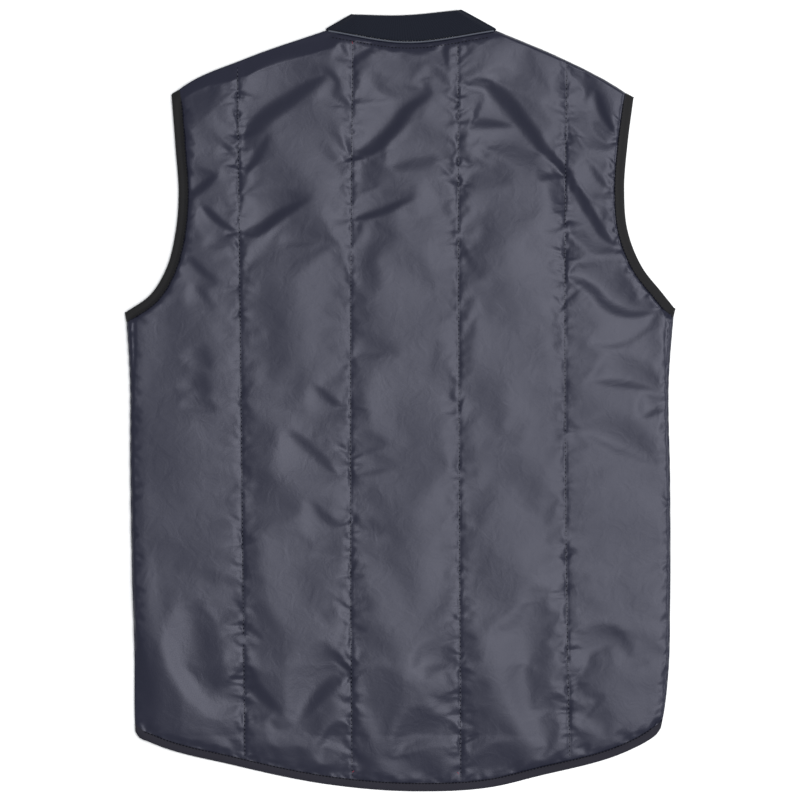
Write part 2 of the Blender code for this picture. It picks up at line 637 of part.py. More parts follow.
def collar_rings():
    """The collar band from the left opening up the left front, across the back and down the right."""
    seam = neck_seam(NECK_STATIONS)
    seam += piping_room(NECK_STATIONS)[:, None] * left_normals(seam)
    tops = [edge_points([COLLAR_FOLD_TOP], side)[0] for side in (LEFT, RIGHT)]
    free = spaced(smooth_curve([tops[0], COLLAR_TOP_MIDDLE, tops[1]]), NECK_STATIONS)
    across = [collar_ring(a, b, settled, BACK_UP) for a, b in zip(seam, free)]

    def level(plan):
        return np.zeros(len(plan))

    def front_rings(side, start, top):
        seam_line = front_neckline(side, -NECK_CLEAR)[::-1]
        seam_line[0] = start
        free_drop = FRONT_NECK_DROP - COLLAR_DEPTH_FRONT + top[1] - start[1]
        free_line = quarter_arc(side, *top, free_drop)[::-1]
        return [collar_ring(a, b, level, FRONT_DOWN) for a, b in zip(seam_line, free_line)]

    left = front_rings(LEFT, seam[0], tops[0])
    right = front_rings(RIGHT, seam[-1], tops[1])
    left_turn = fold_over(left[0], np.array((LEFT, 0.0)))
    right_turn = fold_over(across[-1], np.array((RIGHT, 0.0)))
    return left[::-1] + left_turn + across + right_turn + right


# Small pieces

def make_piping(collection):
    """A thin cord of folded cloth in the back neck seam, as a tube along the seam."""
    seam = neck_seam(NECK_STATIONS)[1:-1]
    heights = BACK_INSIDE + PIPING_LIFT - settled(seam)
    curve = bpy.data.curves.new("neck_piping", "CURVE")
    curve.dimensions = "3D"
    curve.bevel_depth = PIPING_RADIUS
    curve.bevel_resolution = 2
    curve.use_fill_caps = True
    spline = curve.splines.new("POLY")
    spline.points.add(len(seam) - 1)
    for point, place, height in zip(spline.points, seam, heights):
        point.co = (*place, height, 1.0)
    piece = bpy.data.objects.new("neck_piping", curve)
    collection.objects.link(piece)
    curve.materials.append(new_material("neck_piping", PIPING_CLOTH))


def make_placket(collection):
    """The strip behind the front opening that carries the press studs."""
    low = FRONT_HEM_UP + PLACKET_END_CLEAR
    high = edge_points(SHOULDER_EDGE, LEFT)[-1][1] - FRONT_NECK_DROP - PLACKET_END_CLEAR
    bm = bmesh.new()
    bmesh.ops.create_cube(bm, size=1.0)
    size = (2 * PLACKET_HALF_WIDTH, high - low, FRONT_TOP - PLACKET_LOW)
    bmesh.ops.scale(bm, vec=size, verts=bm.verts)
    middle = (0.0, (high + low) / 2, (FRONT_TOP + PLACKET_LOW) / 2)
    bmesh.ops.translate(bm, vec=middle, verts=bm.verts)
    new_piece("front_placket", bm, NYLON, collection)


def make_press_studs(collection):
    """The caps of the press studs, on the outside of the left front beside the opening."""
    for k, up in enumerate(np.linspace(STUD_FIRST_UP, STUD_LAST_UP, STUD_COUNT)):
        bm = bmesh.new()
        bmesh.ops.create_cone(
            bm, cap_ends=True, segments=STUD_SIDES, depth=STUD_HEIGHT,
            radius1=STUD_RADIUS * 0.86, radius2=STUD_RADIUS,
        )
        place = (LEFT * STUD_FROM_EDGE, up, STUD_LIFT + STUD_HEIGHT / 2)
        bmesh.ops.translate(bm, vec=place, verts=bm.verts)
        new_piece(f"press_stud_{k + 1}", bm, STUD_METAL, collection)


def main():
    for old in list(bpy.data.objects):
        bpy.data.objects.remove(old)
    collection = bpy.data.collections.new("Quilted vest")
    bpy.context.scene.collection.children.link(collection)
    back = back_shape()
    fronts = {side: front_shape(side, back) for side in (LEFT, RIGHT)}
    panel_solid("back_panel", back, (BACK_INSIDE,), NYLON, collection)
    panel_solid("front_left", fronts[LEFT], (0.0, FRONT_TOP), NYLON, collection)
    panel_solid("front_right", fronts[RIGHT], (0.0, FRONT_TOP), NYLON, collection)
    loft_solid("armhole_binding_left", armhole_rings(back, LEFT), True, TAPE_CLOTH, collection)
    loft_solid("armhole_binding_right", armhole_rings(back, RIGHT), True, TAPE_CLOTH, collection)
    loft_solid("hem_binding", hem_rings(back, fronts), False, TAPE_CLOTH, collection)
    loft_solid("collar_rib", collar_rings(), False, RIB_KNIT, collection)
    make_piping(collection)
    make_placket(collection)
    make_press_studs(collection)


main()
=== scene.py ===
"""Quilted vest laid flat with its back upwards: cloth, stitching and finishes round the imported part."""

import math
from collections import namedtuple

import bmesh
import bpy
import numpy as np
from bpy.props import FloatProperty, FloatVectorProperty, IntProperty, PointerProperty
from mathutils import Matrix, Vector


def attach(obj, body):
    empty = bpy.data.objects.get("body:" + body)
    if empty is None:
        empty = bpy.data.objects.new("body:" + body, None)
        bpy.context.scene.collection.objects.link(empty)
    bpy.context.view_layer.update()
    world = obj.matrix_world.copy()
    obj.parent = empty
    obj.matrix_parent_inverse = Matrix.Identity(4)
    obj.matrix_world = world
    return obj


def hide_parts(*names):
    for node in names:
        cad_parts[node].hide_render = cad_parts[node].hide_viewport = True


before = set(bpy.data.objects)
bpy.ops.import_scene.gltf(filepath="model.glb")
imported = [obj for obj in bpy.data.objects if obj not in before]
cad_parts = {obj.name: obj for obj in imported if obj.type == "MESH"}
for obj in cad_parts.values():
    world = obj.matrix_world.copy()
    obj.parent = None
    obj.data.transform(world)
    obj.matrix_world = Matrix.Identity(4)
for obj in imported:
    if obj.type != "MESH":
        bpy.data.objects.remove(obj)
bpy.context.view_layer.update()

bl_info = {
    "name": "Quilted vest",
    "version": (1, 0, 0),
    "blender": (4, 5, 0),
    "location": "View3D > Sidebar > Vest",
    "description": "Builds the cloth, stitching and finishes of a quilted vest",
    "category": "Object",
}

MM = 0.001
BODY = "root"
LEFT, RIGHT = -1, 1

# Layers, in millimetres up from the surface that the vest lies on
FOLD_HEIGHT = 4.15
BACK_INSIDE = 4.3
FRONT_HEM_UP = -343.7
TAIL_START = -337.0
TAIL_RUN = 62.0
NECK_SAG = 1.4

# Outline of the finished vest, in millimetres. Each row gives both sides: out from the middle, and up
EdgePoint = namedtuple("EdgePoint", "place left_out left_up right_out right_up")
SIDE_EDGE = (
    EdgePoint("hem corner", 270.0, -337.6, 266.2, -334.1),
    EdgePoint("above the corner", 270.6, -322.0, 269.2, -318.8),
    EdgePoint("low side", 270.8, -264.7, 273.9, -276.9),
    EdgePoint("hip", 273.4, -172.9, 275.7, -203.5),
    EdgePoint("waist", 275.1, -60.7, 275.7, -81.1),
    EdgePoint("ribs", 275.6, 26.0, 274.4, 23.0),
    EdgePoint("underarm", 279.5, 90.3, 279.8, 94.4),
)
ARMHOLE_EDGE = (
    EdgePoint("underarm", 279.5, 90.3, 279.8, 94.4),
    EdgePoint("underarm curve", 255.0, 107.6, 267.2, 110.2),
    EdgePoint("lower curve", 238.7, 134.1, 247.9, 134.6),
    EdgePoint("upper curve", 229.0, 171.9, 232.6, 171.9),
    EdgePoint("narrowest", 225.9, 207.6, 228.8, 214.7),
    EdgePoint("shoulder blade", 229.0, 257.6, 232.1, 260.6),
    EdgePoint("shoulder tip", 233.1, 311.1, 238.2, 308.0),
)
SHOULDER_EDGE = (
    EdgePoint("shoulder tip", 233.1, 311.1, 238.2, 308.0),
    EdgePoint("past the tape", 223.4, 318.8, 222.4, 318.8),
    EdgePoint("middle", 156.1, 349.4, 164.2, 349.4),
    EdgePoint("neck point", 75.5, 377.4, 97.9, 377.4),
)
COLLAR_FOLD_TOP = EdgePoint("collar fold, free edge", 48.5, 394.0, 61.5, 398.6)
CurvePoint = namedtuple("CurvePoint", "x y")
NECK_LOW = CurvePoint(6.0, 365.5)
COLLAR_TOP_MIDDLE = CurvePoint(2.0, 393.2)
HEM_EDGE = (
    CurvePoint(-270.0, -337.6),
    CurvePoint(-266.7, -343.2),
    CurvePoint(-254.5, -349.0),
    CurvePoint(-169.3, -372.3),
    CurvePoint(-71.4, -392.2),
    CurvePoint(14.3, -399.0),
    CurvePoint(100.0, -393.5),
    CurvePoint(136.7, -384.5),
    CurvePoint(236.0, -356.0),
    CurvePoint(251.5, -348.0),
    CurvePoint(262.1, -340.2),
    CurvePoint(266.2, -334.1),
)
QuiltLine = namedtuple("QuiltLine", "place hem_x hem_y top_x top_y sway")
QUILT_LINES = (
    QuiltLine("left side", -158.1, -375.0, -165.8, 345.4, 0.0),
    QuiltLine("left of middle", -48.8, -395.2, -48.0, 369.6, -2.0),
    QuiltLine("right of middle", 62.2, -397.2, 59.2, 370.6, -0.5),
    QuiltLine("right side", 173.4, -374.8, 170.3, 346.8, -3.5),
)

SIDE_SEAMS = (
    (CurvePoint(-271.3, 86.0), CurvePoint(-271.5, 40.0), CurvePoint(-274.5, 0.0)),
    (CurvePoint(273.0, 90.0), CurvePoint(271.0, 55.0), CurvePoint(273.5, 20.0)),
)

# Creases in the back, in millimetres. Each is a trough along a path, or a ridge where its depth is below zero.
# The run is the width of its gentle side, as a share of its steep side
Crease = namedtuple("Crease", "place path width depth run", defaults=(2.1,))
CREASES = (
    Crease(
        "left shoulder, long fold",
        ((-160, 253), (-143, 284), (-112, 307), (-92, 321), (-76, 329)), 22, 2.9,
    ),
    Crease("left shoulder, low end", ((-157, 233), (-146, 247), (-135, 268)), 10, 0.9),
    Crease("left shoulder, ridge at the line", ((-166, 314), (-163, 285), (-162, 244)), 12, -1.3),
    Crease("left shoulder, below that", ((-180, 265), (-170, 254), (-162, 244)), 9, 0.6),
    Crease("left armhole, upper", ((-214, 208), (-201, 218), (-188, 229)), 11, 1.5),
    Crease("left armhole, to the line", ((-202, 199), (-176, 177), (-161, 170)), 9, 1.5),
    Crease("left blade", ((-161, 168), (-141, 176), (-122, 189), (-98, 203)), 15, 2.4),
    Crease("left underarm, first", ((-199, 157), (-186, 156), (-173, 157)), 8, 0.4),
    Crease("left underarm, second", ((-217, 148), (-204, 135), (-187, 121)), 10, 1.0),
    Crease("left underarm, third", ((-211, 120), (-201, 110), (-192, 96)), 9, 0.7),
    Crease("left of middle, high", ((-85, 307), (-70, 301), (-55, 300)), 10, 0.5),
    Crease("left of middle, blade", ((-66, 183), (-58, 181), (-50, 180)), 8, 0.6),
    Crease("left blade, low", ((-122, 158), (-102, 159), (-82, 161)), 10, 0.6),
    Crease("left ribs, first", ((-222, 44), (-208, 36), (-194, 31)), 11, 0.8),
    Crease("left ribs, second", ((-224, 14), (-209, 8), (-197, 4)), 11, 0.8),
    Crease("left ribs, third", ((-222, -7), (-206, -11), (-189, -12)), 9, 0.6),
    Crease("left waist, first", ((-87, 16), (-66, -2), (-51, -7)), 11, 0.9),
    Crease("left waist, second", ((-114, -30), (-87, -53), (-64, -77)), 15, 1.3),
    Crease("left waist, third", ((-90, -104), (-69, -124), (-51, -129)), 12, 0.9),
    Crease(
        "left hip, trough",
        ((-214, -203), (-203, -222), (-195, -246), (-190, -273), (-177, -295), (-160, -305)), 30, 2.0, 1.2,
    ),
    Crease("left hip, ridge", ((-255, -163), (-240, -244), (-204, -305), (-163, -338)), 22, -1.0),
    Crease("left tail, at the line", ((-159, -273), (-147, -293), (-125, -315)), 18, 1.9),
    Crease("left tail, fold", ((-50, -273), (-74, -293), (-101, -324)), 20, 2.3),
    Crease("left tail, low", ((-80, -348), (-64, -353), (-50, -360)), 11, 1.1),
    Crease("left seat", ((-89, -159), (-71, -163), (-51, -166)), 9, 0.5),
    Crease("yoke, left foot", ((-60, 363), (-54, 355), (-50, 347)), 7, 0.5),
    Crease("yoke, right foot", ((-27, 359), (-38, 351), (-49, 342)), 9, 0.8),
    Crease("yoke, short", ((-46, 304), (-26, 305), (-4, 308)), 9, 0.8),
    Crease("yoke, long fold", ((-49, 247), (-26, 259), (-5, 278), (10, 298), (27, 310)), 18, 3.0),
    Crease("across the blades", ((-10, 235), (20, 241), (61, 245)), 18, 1.2),
    Crease("below the blades", ((-49, 183), (-20, 192), (11, 206)), 10, 1.5),
    Crease("middle back", ((-44, 44), (-28, 46), (-10, 47)), 9, 0.5),
    Crease("middle waist, first", ((-49, -59), (-31, -52), (-14, -46)), 10, 0.8),
    Crease("middle waist, second", ((-46, -77), (-26, -73), (-7, -69)), 10, 0.8),
    Crease("middle waist, third", ((-46, -133), (-34, -137), (-19, -139)), 9, 0.5),
    Crease("middle seat, right", ((15, -276), (41, -272), (60, -270)), 14, 1.6),
    Crease("middle tail", ((-2, -359), (28, -348), (60, -348)), 15, 1.6),
    Crease("middle tail, short", ((37, -318), (48, -313), (60, -308)), 9, 0.4),
    Crease("right of middle, tail", ((67, -295), (71, -316), (75, -348)), 18, 0.8),
    Crease("right neck", ((48, 362), (47, 351), (48, 341)), 7, 0.7),
    Crease(
        "right shoulder, long fold",
        ((63, 325), (90, 321), (111, 303), (129, 280), (148, 256), (167, 235)), 20, 3.4,
    ),
    Crease("right shoulder, short", ((61, 284), (87, 282), (110, 280)), 15, 1.0),
    Crease("right blade", ((63, 250), (87, 239), (109, 226)), 13, 0.7),
    Crease("right line, first", ((166, 230), (154, 228), (141, 224)), 11, 0.9),
    Crease("right line, second", ((169, 176), (160, 174), (147, 173)), 8, 0.45),
    Crease("right of middle, ribs", ((61, 161), (70, 144), (80, 128)), 11, 0.6),
    Crease(
        "right armhole, long fold",
        ((165, 242), (174, 225), (184, 208), (196, 188), (210, 168), (228, 154)), 14, 2.5,
    ),
    Crease("right armhole, curve", ((170, 343), (192, 323), (205, 301), (214, 279), (224, 260)), 18, 2.3),
    Crease("right armhole, leaf", ((201, 315), (207, 296), (219, 272)), 6, 0.8),
    Crease("right armhole, middle", ((189, 247), (206, 223), (223, 208)), 9, 0.8),
    Crease("right underarm", ((171, 128), (197, 112), (210, 98), (235, 88), (260, 90)), 17, 2.6),
    Crease("right ribs, faint", ((196, 56), (219, 55), (260, 75)), 10, 0.6),
    Crease("right ribs", ((199, 19), (240, 15), (262, 9)), 14, 1.5),
    Crease("right side, first", ((246, -18), (260, -12), (273, -4)), 11, 1.1),
    Crease("right waist", ((187, -34), (214, -47), (257, -64)), 15, 1.3),
    Crease("right seat", ((144, -205), (150, -272), (157, -352)), 40, 1.5, 0.8),
    Crease("right tail", ((171, -324), (156, -320), (140, -322)), 11, 0.8),
    Crease("right hip, trough", ((236, -248), (214, -264), (198, -284), (184, -310)), 32, 1.9, 1.0),
    Crease("right hip, thin", ((208, -303), (195, -318), (183, -333)), 7, 0.4),
    Crease("right corner, first", ((191, -349), (192, -355), (191, -364)), 6, 0.6),
    Crease("right corner, second", ((224, -337), (232, -341), (239, -345)), 6, 0.6),
)

# Where the back sinks towards an edge, in millimetres. Across and up give the way that it sinks, start is how far
# that way it begins, run is how far on it ends, and depth is how deep it is there
Sink = namedtuple("Sink", "place across up start run depth")
LOW_CORNER = Sink("lower left corner", -0.7, -0.7, 345, 80, 4.6)
TAIL = Sink("tail", 0.0, -1.0, 270, 72, 4.4)
SHOULDER_TIP = Sink("left shoulder tip", -0.7, 0.7, 341, 36, 3.3)
# How much of the tail's depth each place across the back has
TAIL_PLACES = (-250, -170, 50, 220)
TAIL_SHARES = (0.4, 1.0, 0.9, 0.5)

# Where the quilting pulls the cloth in most, up each line, in millimetres
STRONG_PUCKERS = (
    (309, 289, 279, 266, 250, 240, 170, 152, 111, 86, -6, -127, -147, -178, -214, -236, -249, -285, -305,
     -321),
    (302, 245, 181, -8, -57, -78, -130, -178, -214, -244, -276, -285, -311, -326),
    (306, 294, 284, 250, 240, 227, 217, 164, 151, -10, -66, -125, -168, -198, -209, -221, -249, -260, -270,
     -282, -305, -321, -336, -351),
    (276, 268, 233, 222, 210, 197, 174, 151, 141, 130, 111, 99, -35, -160, -198, -254, -295, -311, -324),
)


# Settings that a user would change

def length(name, description, millimetres):
    return FloatProperty(name=name, description=description, default=millimetres * MM, unit="LENGTH")


class VestSizes(bpy.types.PropertyGroup):
    """Sizes of the cloth and its sewing"""

    loft: length("Loft", "Rise of the padding in the middle of a channel", 6.4)
    seam_loft: length("Seam loft", "Thickness of the quilted cloth on a stitch line", 6.1)
    shoulder_slope: length("Shoulder slope", "Width over which the back slopes down at the left shoulder", 19)
    shoulder_roll: length("Shoulder roll", "Width over which the back rolls down at the right shoulder", 3)
    side_roll: length("Side roll", "Width over which the back rolls down at the side folds", 4)
    hip_roll: length("Hip roll", "Width over which the back rolls down at the left hip, its flattest side", 24)
    armhole_tape: length("Armhole tape", "Width of tape that shows at the armholes", 10)
    hem_tape: length("Hem tape", "Width of tape that shows at the hem", 8.5)
    stitch_pitch: length("Stitch pitch", "Distance from one quilting stitch to the next", 4.3)
    thread: length("Thread", "Thickness of the sewing thread", 0.62)
    rib_pitch: length("Rib pitch", "Distance from one collar rib to the next", 2.3)
    stud: length("Press stud", "Radius of a press stud's cap", 6)
    frame_width: length("Frame width", "Width of the view at the vest", 816)
    pucker_seed: IntProperty(
        name="Pucker seed", description="Choice of the small puckers along the seams", default=7,
    )


def colour(name, description, default):
    return FloatVectorProperty(
        name=name, description=description, subtype="COLOR", size=3, min=0.0, max=1.0, default=default
    )


class VestColours(bpy.types.PropertyGroup):
    """Colours of the cloth and trim"""

    shell: colour("Shell", "Navy nylon of the panels", (0.0082, 0.0088, 0.0180))
    shell_light: colour("Shell, worn", "Lighter tone where the nylon is rubbed", (0.0110, 0.0118, 0.0220))
    rib: colour("Rib", "Dark navy of the collar", (0.0055, 0.0070, 0.0130))
    tape: colour("Tape", "Black of the armhole binding", (0.0052, 0.0050, 0.0058))
    # The hem binding is the same black tape as the armholes: its lighter, bluer colour is painted light
    hem_tape: colour("Hem tape", "Black of the hem binding, painted lighter and bluer as light on it", (0.0105, 0.0098, 0.0165))
    # The neck piping is a cord of the navy nylon: its light grey-blue colour is a painted highlight
    piping: colour("Piping", "Light grey-blue painted on the navy nylon piping as its highlight", (0.0540, 0.0600, 0.0780))
    thread: colour("Thread", "Navy of the sewing thread", (0.0300, 0.0320, 0.0480))
    red_thread: colour("Red thread", "Tie-off thread at the ends of the quilting", (0.3200, 0.0350, 0.0550))
    stud: colour("Stud", "Black lacquer of the press studs", (0.0200, 0.0200, 0.0230))
    floor: colour("Floor", "Pale surface that the vest lies on", (0.95, 0.95, 0.95))


# Curves in the plan

def smooth_curve(points, steps=24):
    """A dense line on a smooth curve through the points."""
    points = np.asarray(points, float)
    knots = lengths_along(points)
    slopes = np.gradient(points, knots, axis=0)
    at = np.linspace(0.0, knots[-1], steps * (len(points) - 1) + 1)
    span = np.clip(np.searchsorted(knots, at, side="right") - 1, 0, len(knots) - 2)
    length = (knots[span + 1] - knots[span])[:, None]
    t = (at - knots[span])[:, None] / length
    return (
        (1 + 2 * t) * (1 - t) ** 2 * points[span]
        + t * (1 - t) ** 2 * length * slopes[span]
        + t**2 * (3 - 2 * t) * points[span + 1]
        + t**2 * (t - 1) * length * slopes[span + 1]
    )


def lengths_along(line):
    return np.concatenate([[0.0], np.cumsum(np.linalg.norm(np.diff(line, axis=0), axis=1))])


def points_at(line, distances):
    along = lengths_along(line)
    return np.stack([np.interp(distances, along, line[:, k]) for k in range(line.shape[1])], axis=1)


def spaced(line, cells):
    return points_at(line, np.linspace(0.0, lengths_along(line)[-1], cells + 1))


def left_normals(line):
    along = np.gradient(line, axis=0)
    along /= np.linalg.norm(along, axis=1)[:, None]
    return np.stack([-along[:, 1], along[:, 0]], axis=1)


def coons(left, right, bottom, top):
    """Points filled in between four edges, as columns of rows."""
    across = lengths_along(bottom) / lengths_along(bottom)[-1]
    up = lengths_along(right) / lengths_along(right)[-1]
    s, t = across[:, None, None], up[None, :, None]
    sides = (1 - s) * left[None] + s * right[None]
    ends = (1 - t) * bottom[:, None] + t * top[:, None]
    corners = (1 - s) * ((1 - t) * bottom[0] + t * top[0]) + s * ((1 - t) * bottom[-1] + t * top[-1])
    return sides + ends - corners


def smoothstep(value):
    value = np.clip(value, 0.0, 1.0)
    return value * value * (3 - 2 * value)


def rolled(share):
    """Height over a rounded edge: 0 at the edge, 1 where the roll ends."""
    return np.sqrt(1 - (1 - np.clip(share, 0.0, 1.0)) ** 2)


def sloped(share):
    """Height over a plain slope with a rounded foot: 0 at the edge, 1 where the slope ends."""
    return 0.9 * np.clip(share, 0.0, 1.0) + 0.1 * rolled(share / 0.15)


def edge_points(rows, side):
    if side == LEFT:
        return [(-row.left_out, row.left_up) for row in rows]
    return [(row.right_out, row.right_up) for row in rows]


def edge_line(rows, side, cells=160):
    """One side of an outline table as an even line."""
    return spaced(smooth_curve(edge_points(rows, side)), cells)


def neck_seam(cells=160):
    left, right = edge_points(SHOULDER_EDGE, LEFT)[-1], edge_points(SHOULDER_EDGE, RIGHT)[-1]
    return spaced(smooth_curve([left, NECK_LOW, right], 60), cells)


def hem_line(cells=400):
    return spaced(smooth_curve(HEM_EDGE), cells)


def quilt_x(line, y):
    """Where a quilting line runs, across, at a height up the back."""
    share = (y - line.hem_y) / (line.top_y - line.hem_y)
    return line.hem_x + share * (line.top_x - line.hem_x) + line.sway * 4 * share * (1 - share)


def apart(points, line):
    """Distance of each point from a line."""
    nearest = np.empty(len(points))
    for start in range(0, len(points), 8000):
        part = points[start : start + 8000]
        square = ((part[:, None, 0] - line[None, :, 0]) ** 2 + (part[:, None, 1] - line[None, :, 1]) ** 2)
        nearest[start : start + 8000] = np.sqrt(square.min(axis=1))
    return nearest


# Heights of the back, in millimetres

def settled(points):
    """How far the back drops where no front lies under it: the tail and the neck."""
    x, y = points[:, 0], points[:, 1]
    tail = BACK_INSIDE * smoothstep((TAIL_START - y) / TAIL_RUN)
    middle = (COLLAR_FOLD_TOP.right_out - COLLAR_FOLD_TOP.left_out) / 2
    half_width = (COLLAR_FOLD_TOP.right_out + COLLAR_FOLD_TOP.left_out) / 2
    away = ((x - middle) / half_width) ** 2 + ((y - COLLAR_TOP_MIDDLE.y) / 64) ** 2
    return tail + NECK_SAG * smoothstep(1 - away)


def press(points, height, line, width, depth, run=2.1, from_seam=False):
    """Presses a crease along a line into heights. Its ends are pointed, unless it starts at a seam. The side
    that faces left or up the back is a short slope as wide as the crease, and the other side is wider by the
    run, so that it is gentle."""
    low, high = line.min(axis=0) - (run + 1) * width, line.max(axis=0) + (run + 1) * width
    near = np.flatnonzero(((points > low) & (points < high)).all(axis=1))
    if not len(near):
        return
    away = points[near][:, None] - line[None]
    index = (away**2).sum(axis=2).argmin(axis=1)
    nearest = away[np.arange(len(near)), index]
    last = len(line) - 1
    along = np.gradient(line, axis=0)
    step = np.linalg.norm(along, axis=1)[index]
    along = along[index] / step[:, None]
    past = (nearest * along).sum(axis=1)
    offset = along[:, 0] * nearest[:, 1] - along[:, 1] * nearest[:, 0]
    beyond = np.where(index == 0, np.minimum(past, 0), np.where(index == last, np.maximum(past, 0), 0.0))
    onward = line[-1] - line[0]
    side = -1 if 0.9 * onward[1] + 0.45 * onward[0] > 0 else 1
    share = np.clip((index + past / step) / last, 0, 1)
    body = (1 - share) ** 0.8 if from_seam else np.sin(math.pi * (0.03 + 0.94 * share**0.8)) ** 0.75
    wide = width * (0.3 + 0.7 * body)
    across = side * offset / wide + 0.5
    trough = np.where(across > 0, 1 - smoothstep(across), 1 - smoothstep(-across / run))
    fade = 1 - smoothstep(np.abs(beyond) / (2 if from_seam else 0.5 * width))
    height[near] -= depth * body * trough * fade


def crease_line(crease, cells):
    return spaced(smooth_curve(crease.path, 12), cells)


def press_creases(points, height):
    for crease in CREASES:
        press(points, height, crease_line(crease, 32), crease.width, crease.depth, crease.run)


def press_puckers(points, height, seed):
    """Small uneven puckers where the quilting draws the cloth in, along every line."""
    rng = np.random.default_rng(seed)
    for line, strong in zip(QUILT_LINES, STRONG_PUCKERS):
        y = line.hem_y + 14
        while y < line.top_y - 10:
            pull = 0.7 + 1.1 * max(math.exp(-(((y - place) / 7) ** 2)) for place in strong)
            tilt = rng.uniform(-0.2, 0.6)
            for side in (LEFT, RIGHT):
                reach = rng.uniform(6, 15) * pull**0.6
                depth = rng.uniform(0.15, 0.50) * pull * (1.0 if rng.random() < 0.75 else -0.5)
                rise = reach * (tilt + rng.uniform(-0.35, 0.35))
                foot = y + rng.uniform(-1.5, 1.5)
                start = (quilt_x(line, foot), foot)
                end = (start[0] + side * reach, foot + rise)
                path = np.linspace(start, end, 12)
                press(points, height, path, rng.uniform(3.0, 5.5), depth, from_seam=True)
            y += rng.uniform(3.5, 7.5)


def press_edge_puckers(points, height, seed):
    """Short puckers at the sewn edges of the tapes and the collar."""
    rng = np.random.default_rng(seed + 1)
    edges = [(edge_line(ARMHOLE_EDGE, LEFT), 1, 10), (edge_line(ARMHOLE_EDGE, RIGHT), -1, 10)]
    edges += [(hem_line(), -1, 8), (neck_seam(), 1, 5)]
    edges += [(edge_line(SIDE_EDGE, LEFT), 1, 2), (edge_line(SIDE_EDGE, RIGHT), -1, 2)]
    for line, turn, start in edges:
        inward = -turn * left_normals(line)
        total = lengths_along(line)[-1]
        at = 8.0
        while at < total - 8:
            foot = points_at(line, [at])[0]
            way = inward[int(at / total * (len(line) - 1))]
            along = np.array((way[1], -way[0])) * rng.uniform(-0.6, 0.6)
            reach = rng.uniform(4, 12)
            path = np.linspace(foot + way * start, foot + (way + along) * (start + reach), 9)
            press(points, height, path, rng.uniform(3.0, 5.5), rng.uniform(0.25, 0.95), from_seam=True)
            at += rng.uniform(5, 13)


def rolling_noise(points, seed, size):
    """Slow uneven swell over the cloth, between -1 and 1."""
    rng = np.random.default_rng(seed)
    total = np.zeros(len(points))
    for wave in range(9):
        turn = rng.uniform(0, math.tau)
        length = size * rng.uniform(0.7, 1.6)
        phase = rng.uniform(0, math.tau)
        way = np.array((math.cos(turn), math.sin(turn))) * math.tau / length
        total += np.sin(points @ way + phase)
    return total / 5


def back_slack(points):
    """How much spare cloth there is, from 0 to 1: most at the creases, some along the quilting lines."""
    x, y = points[:, 0], points[:, 1]
    from_line = np.min([np.abs(x - quilt_x(line, y)) for line in QUILT_LINES], axis=0)
    slack = 0.02 + 0.045 * np.exp(-from_line / 10) + 0.035 * smoothstep((y - 60) / 140)
    slack += 0.05 * smoothstep((-230 - y) / 60)
    spare = np.zeros(len(points))
    for crease in CREASES:
        reach = np.exp(-((apart(points, crease_line(crease, 14)) / crease.width) ** 2))
        spare = np.maximum(spare, reach * min(1.0, crease.depth / 3))
    slack *= 1 - 0.5 * smoothstep((-175 - x) / 15)
    return np.clip(slack + 0.03 * spare, 0.0, 1.0)


def sunk(points, sink):
    """How far the back has sunk towards one of its edges."""
    way = sink.across * points[:, 0] + sink.up * points[:, 1]
    return sink.depth * np.clip((way - sink.start) / sink.run, 0, 1) ** 1.2


def back_height(points, sizes):
    """Height of the back's outer face over the plan."""
    loft, seam_loft = sizes.loft / MM, sizes.seam_loft / MM
    x, y = points[:, 0], points[:, 1]
    from_line = np.min([np.abs(x - quilt_x(line, y)) for line in QUILT_LINES], axis=0)
    puff = 0.15 * (1 - np.exp(-from_line / 3)) + 0.85 * (1 - (1 - np.clip(from_line / 52, 0, 1)) ** 2.0)
    height = seam_loft + (loft - seam_loft) * puff + 0.30 * rolling_noise(points, 3, 95)
    tail = sunk(points, TAIL) * np.interp(x, TAIL_PLACES, TAIL_SHARES)
    height -= np.maximum(sunk(points, LOW_CORNER), tail) + sunk(points, SHOULDER_TIP)
    height -= 0.35 * (1 - smoothstep(apart(points, edge_line(SIDE_EDGE, LEFT, 300)) / 16))
    press_creases(points, height)
    height = np.maximum(height, 1.0)
    hip_roll, side_roll = sizes.hip_roll / MM, sizes.side_roll / MM
    for side, roll in ((LEFT, np.interp(y, (-300, -230), (hip_roll, side_roll))), (RIGHT, side_roll)):
        height *= rolled(apart(points, edge_line(SIDE_EDGE, side, 300)) / roll)
        from_fold = apart(points, edge_line(SHOULDER_EDGE, side))
        if side == LEFT:
            share = from_fold / (sizes.shoulder_slope / MM)
            height = np.where(share < 1, np.minimum(height, 1.05 * loft * sloped(share)), height)
        else:
            height *= rolled(from_fold / (sizes.shoulder_roll / MM))
    for line, width, bound, roll in (
        (edge_line(ARMHOLE_EDGE, LEFT), sizes.armhole_tape, 2.5, 5),
        (edge_line(ARMHOLE_EDGE, RIGHT), sizes.armhole_tape, 2.5, 4),
        (hem_line(), sizes.hem_tape, 1.6, np.interp(x, (-150, 60), (20, 5))),
        (neck_seam(), 3 * MM, 2.5, 9),
    ):
        past = (apart(points, line) - width / MM + 1.5) / roll
        low = np.minimum(height, bound)
        height = np.where(past > 0, low + (height - low) * rolled(past), low)
    return BACK_INSIDE - settled(points) + height


# Meshes

def grid_places(mesh, shape):
    """The column and row of each of a grid's points, kept on the mesh when it was made."""
    place = np.empty(len(mesh.vertices), np.int32)
    mesh.attributes["place"].data.foreach_get("value", place)
    return place // shape[1], place % shape[1]


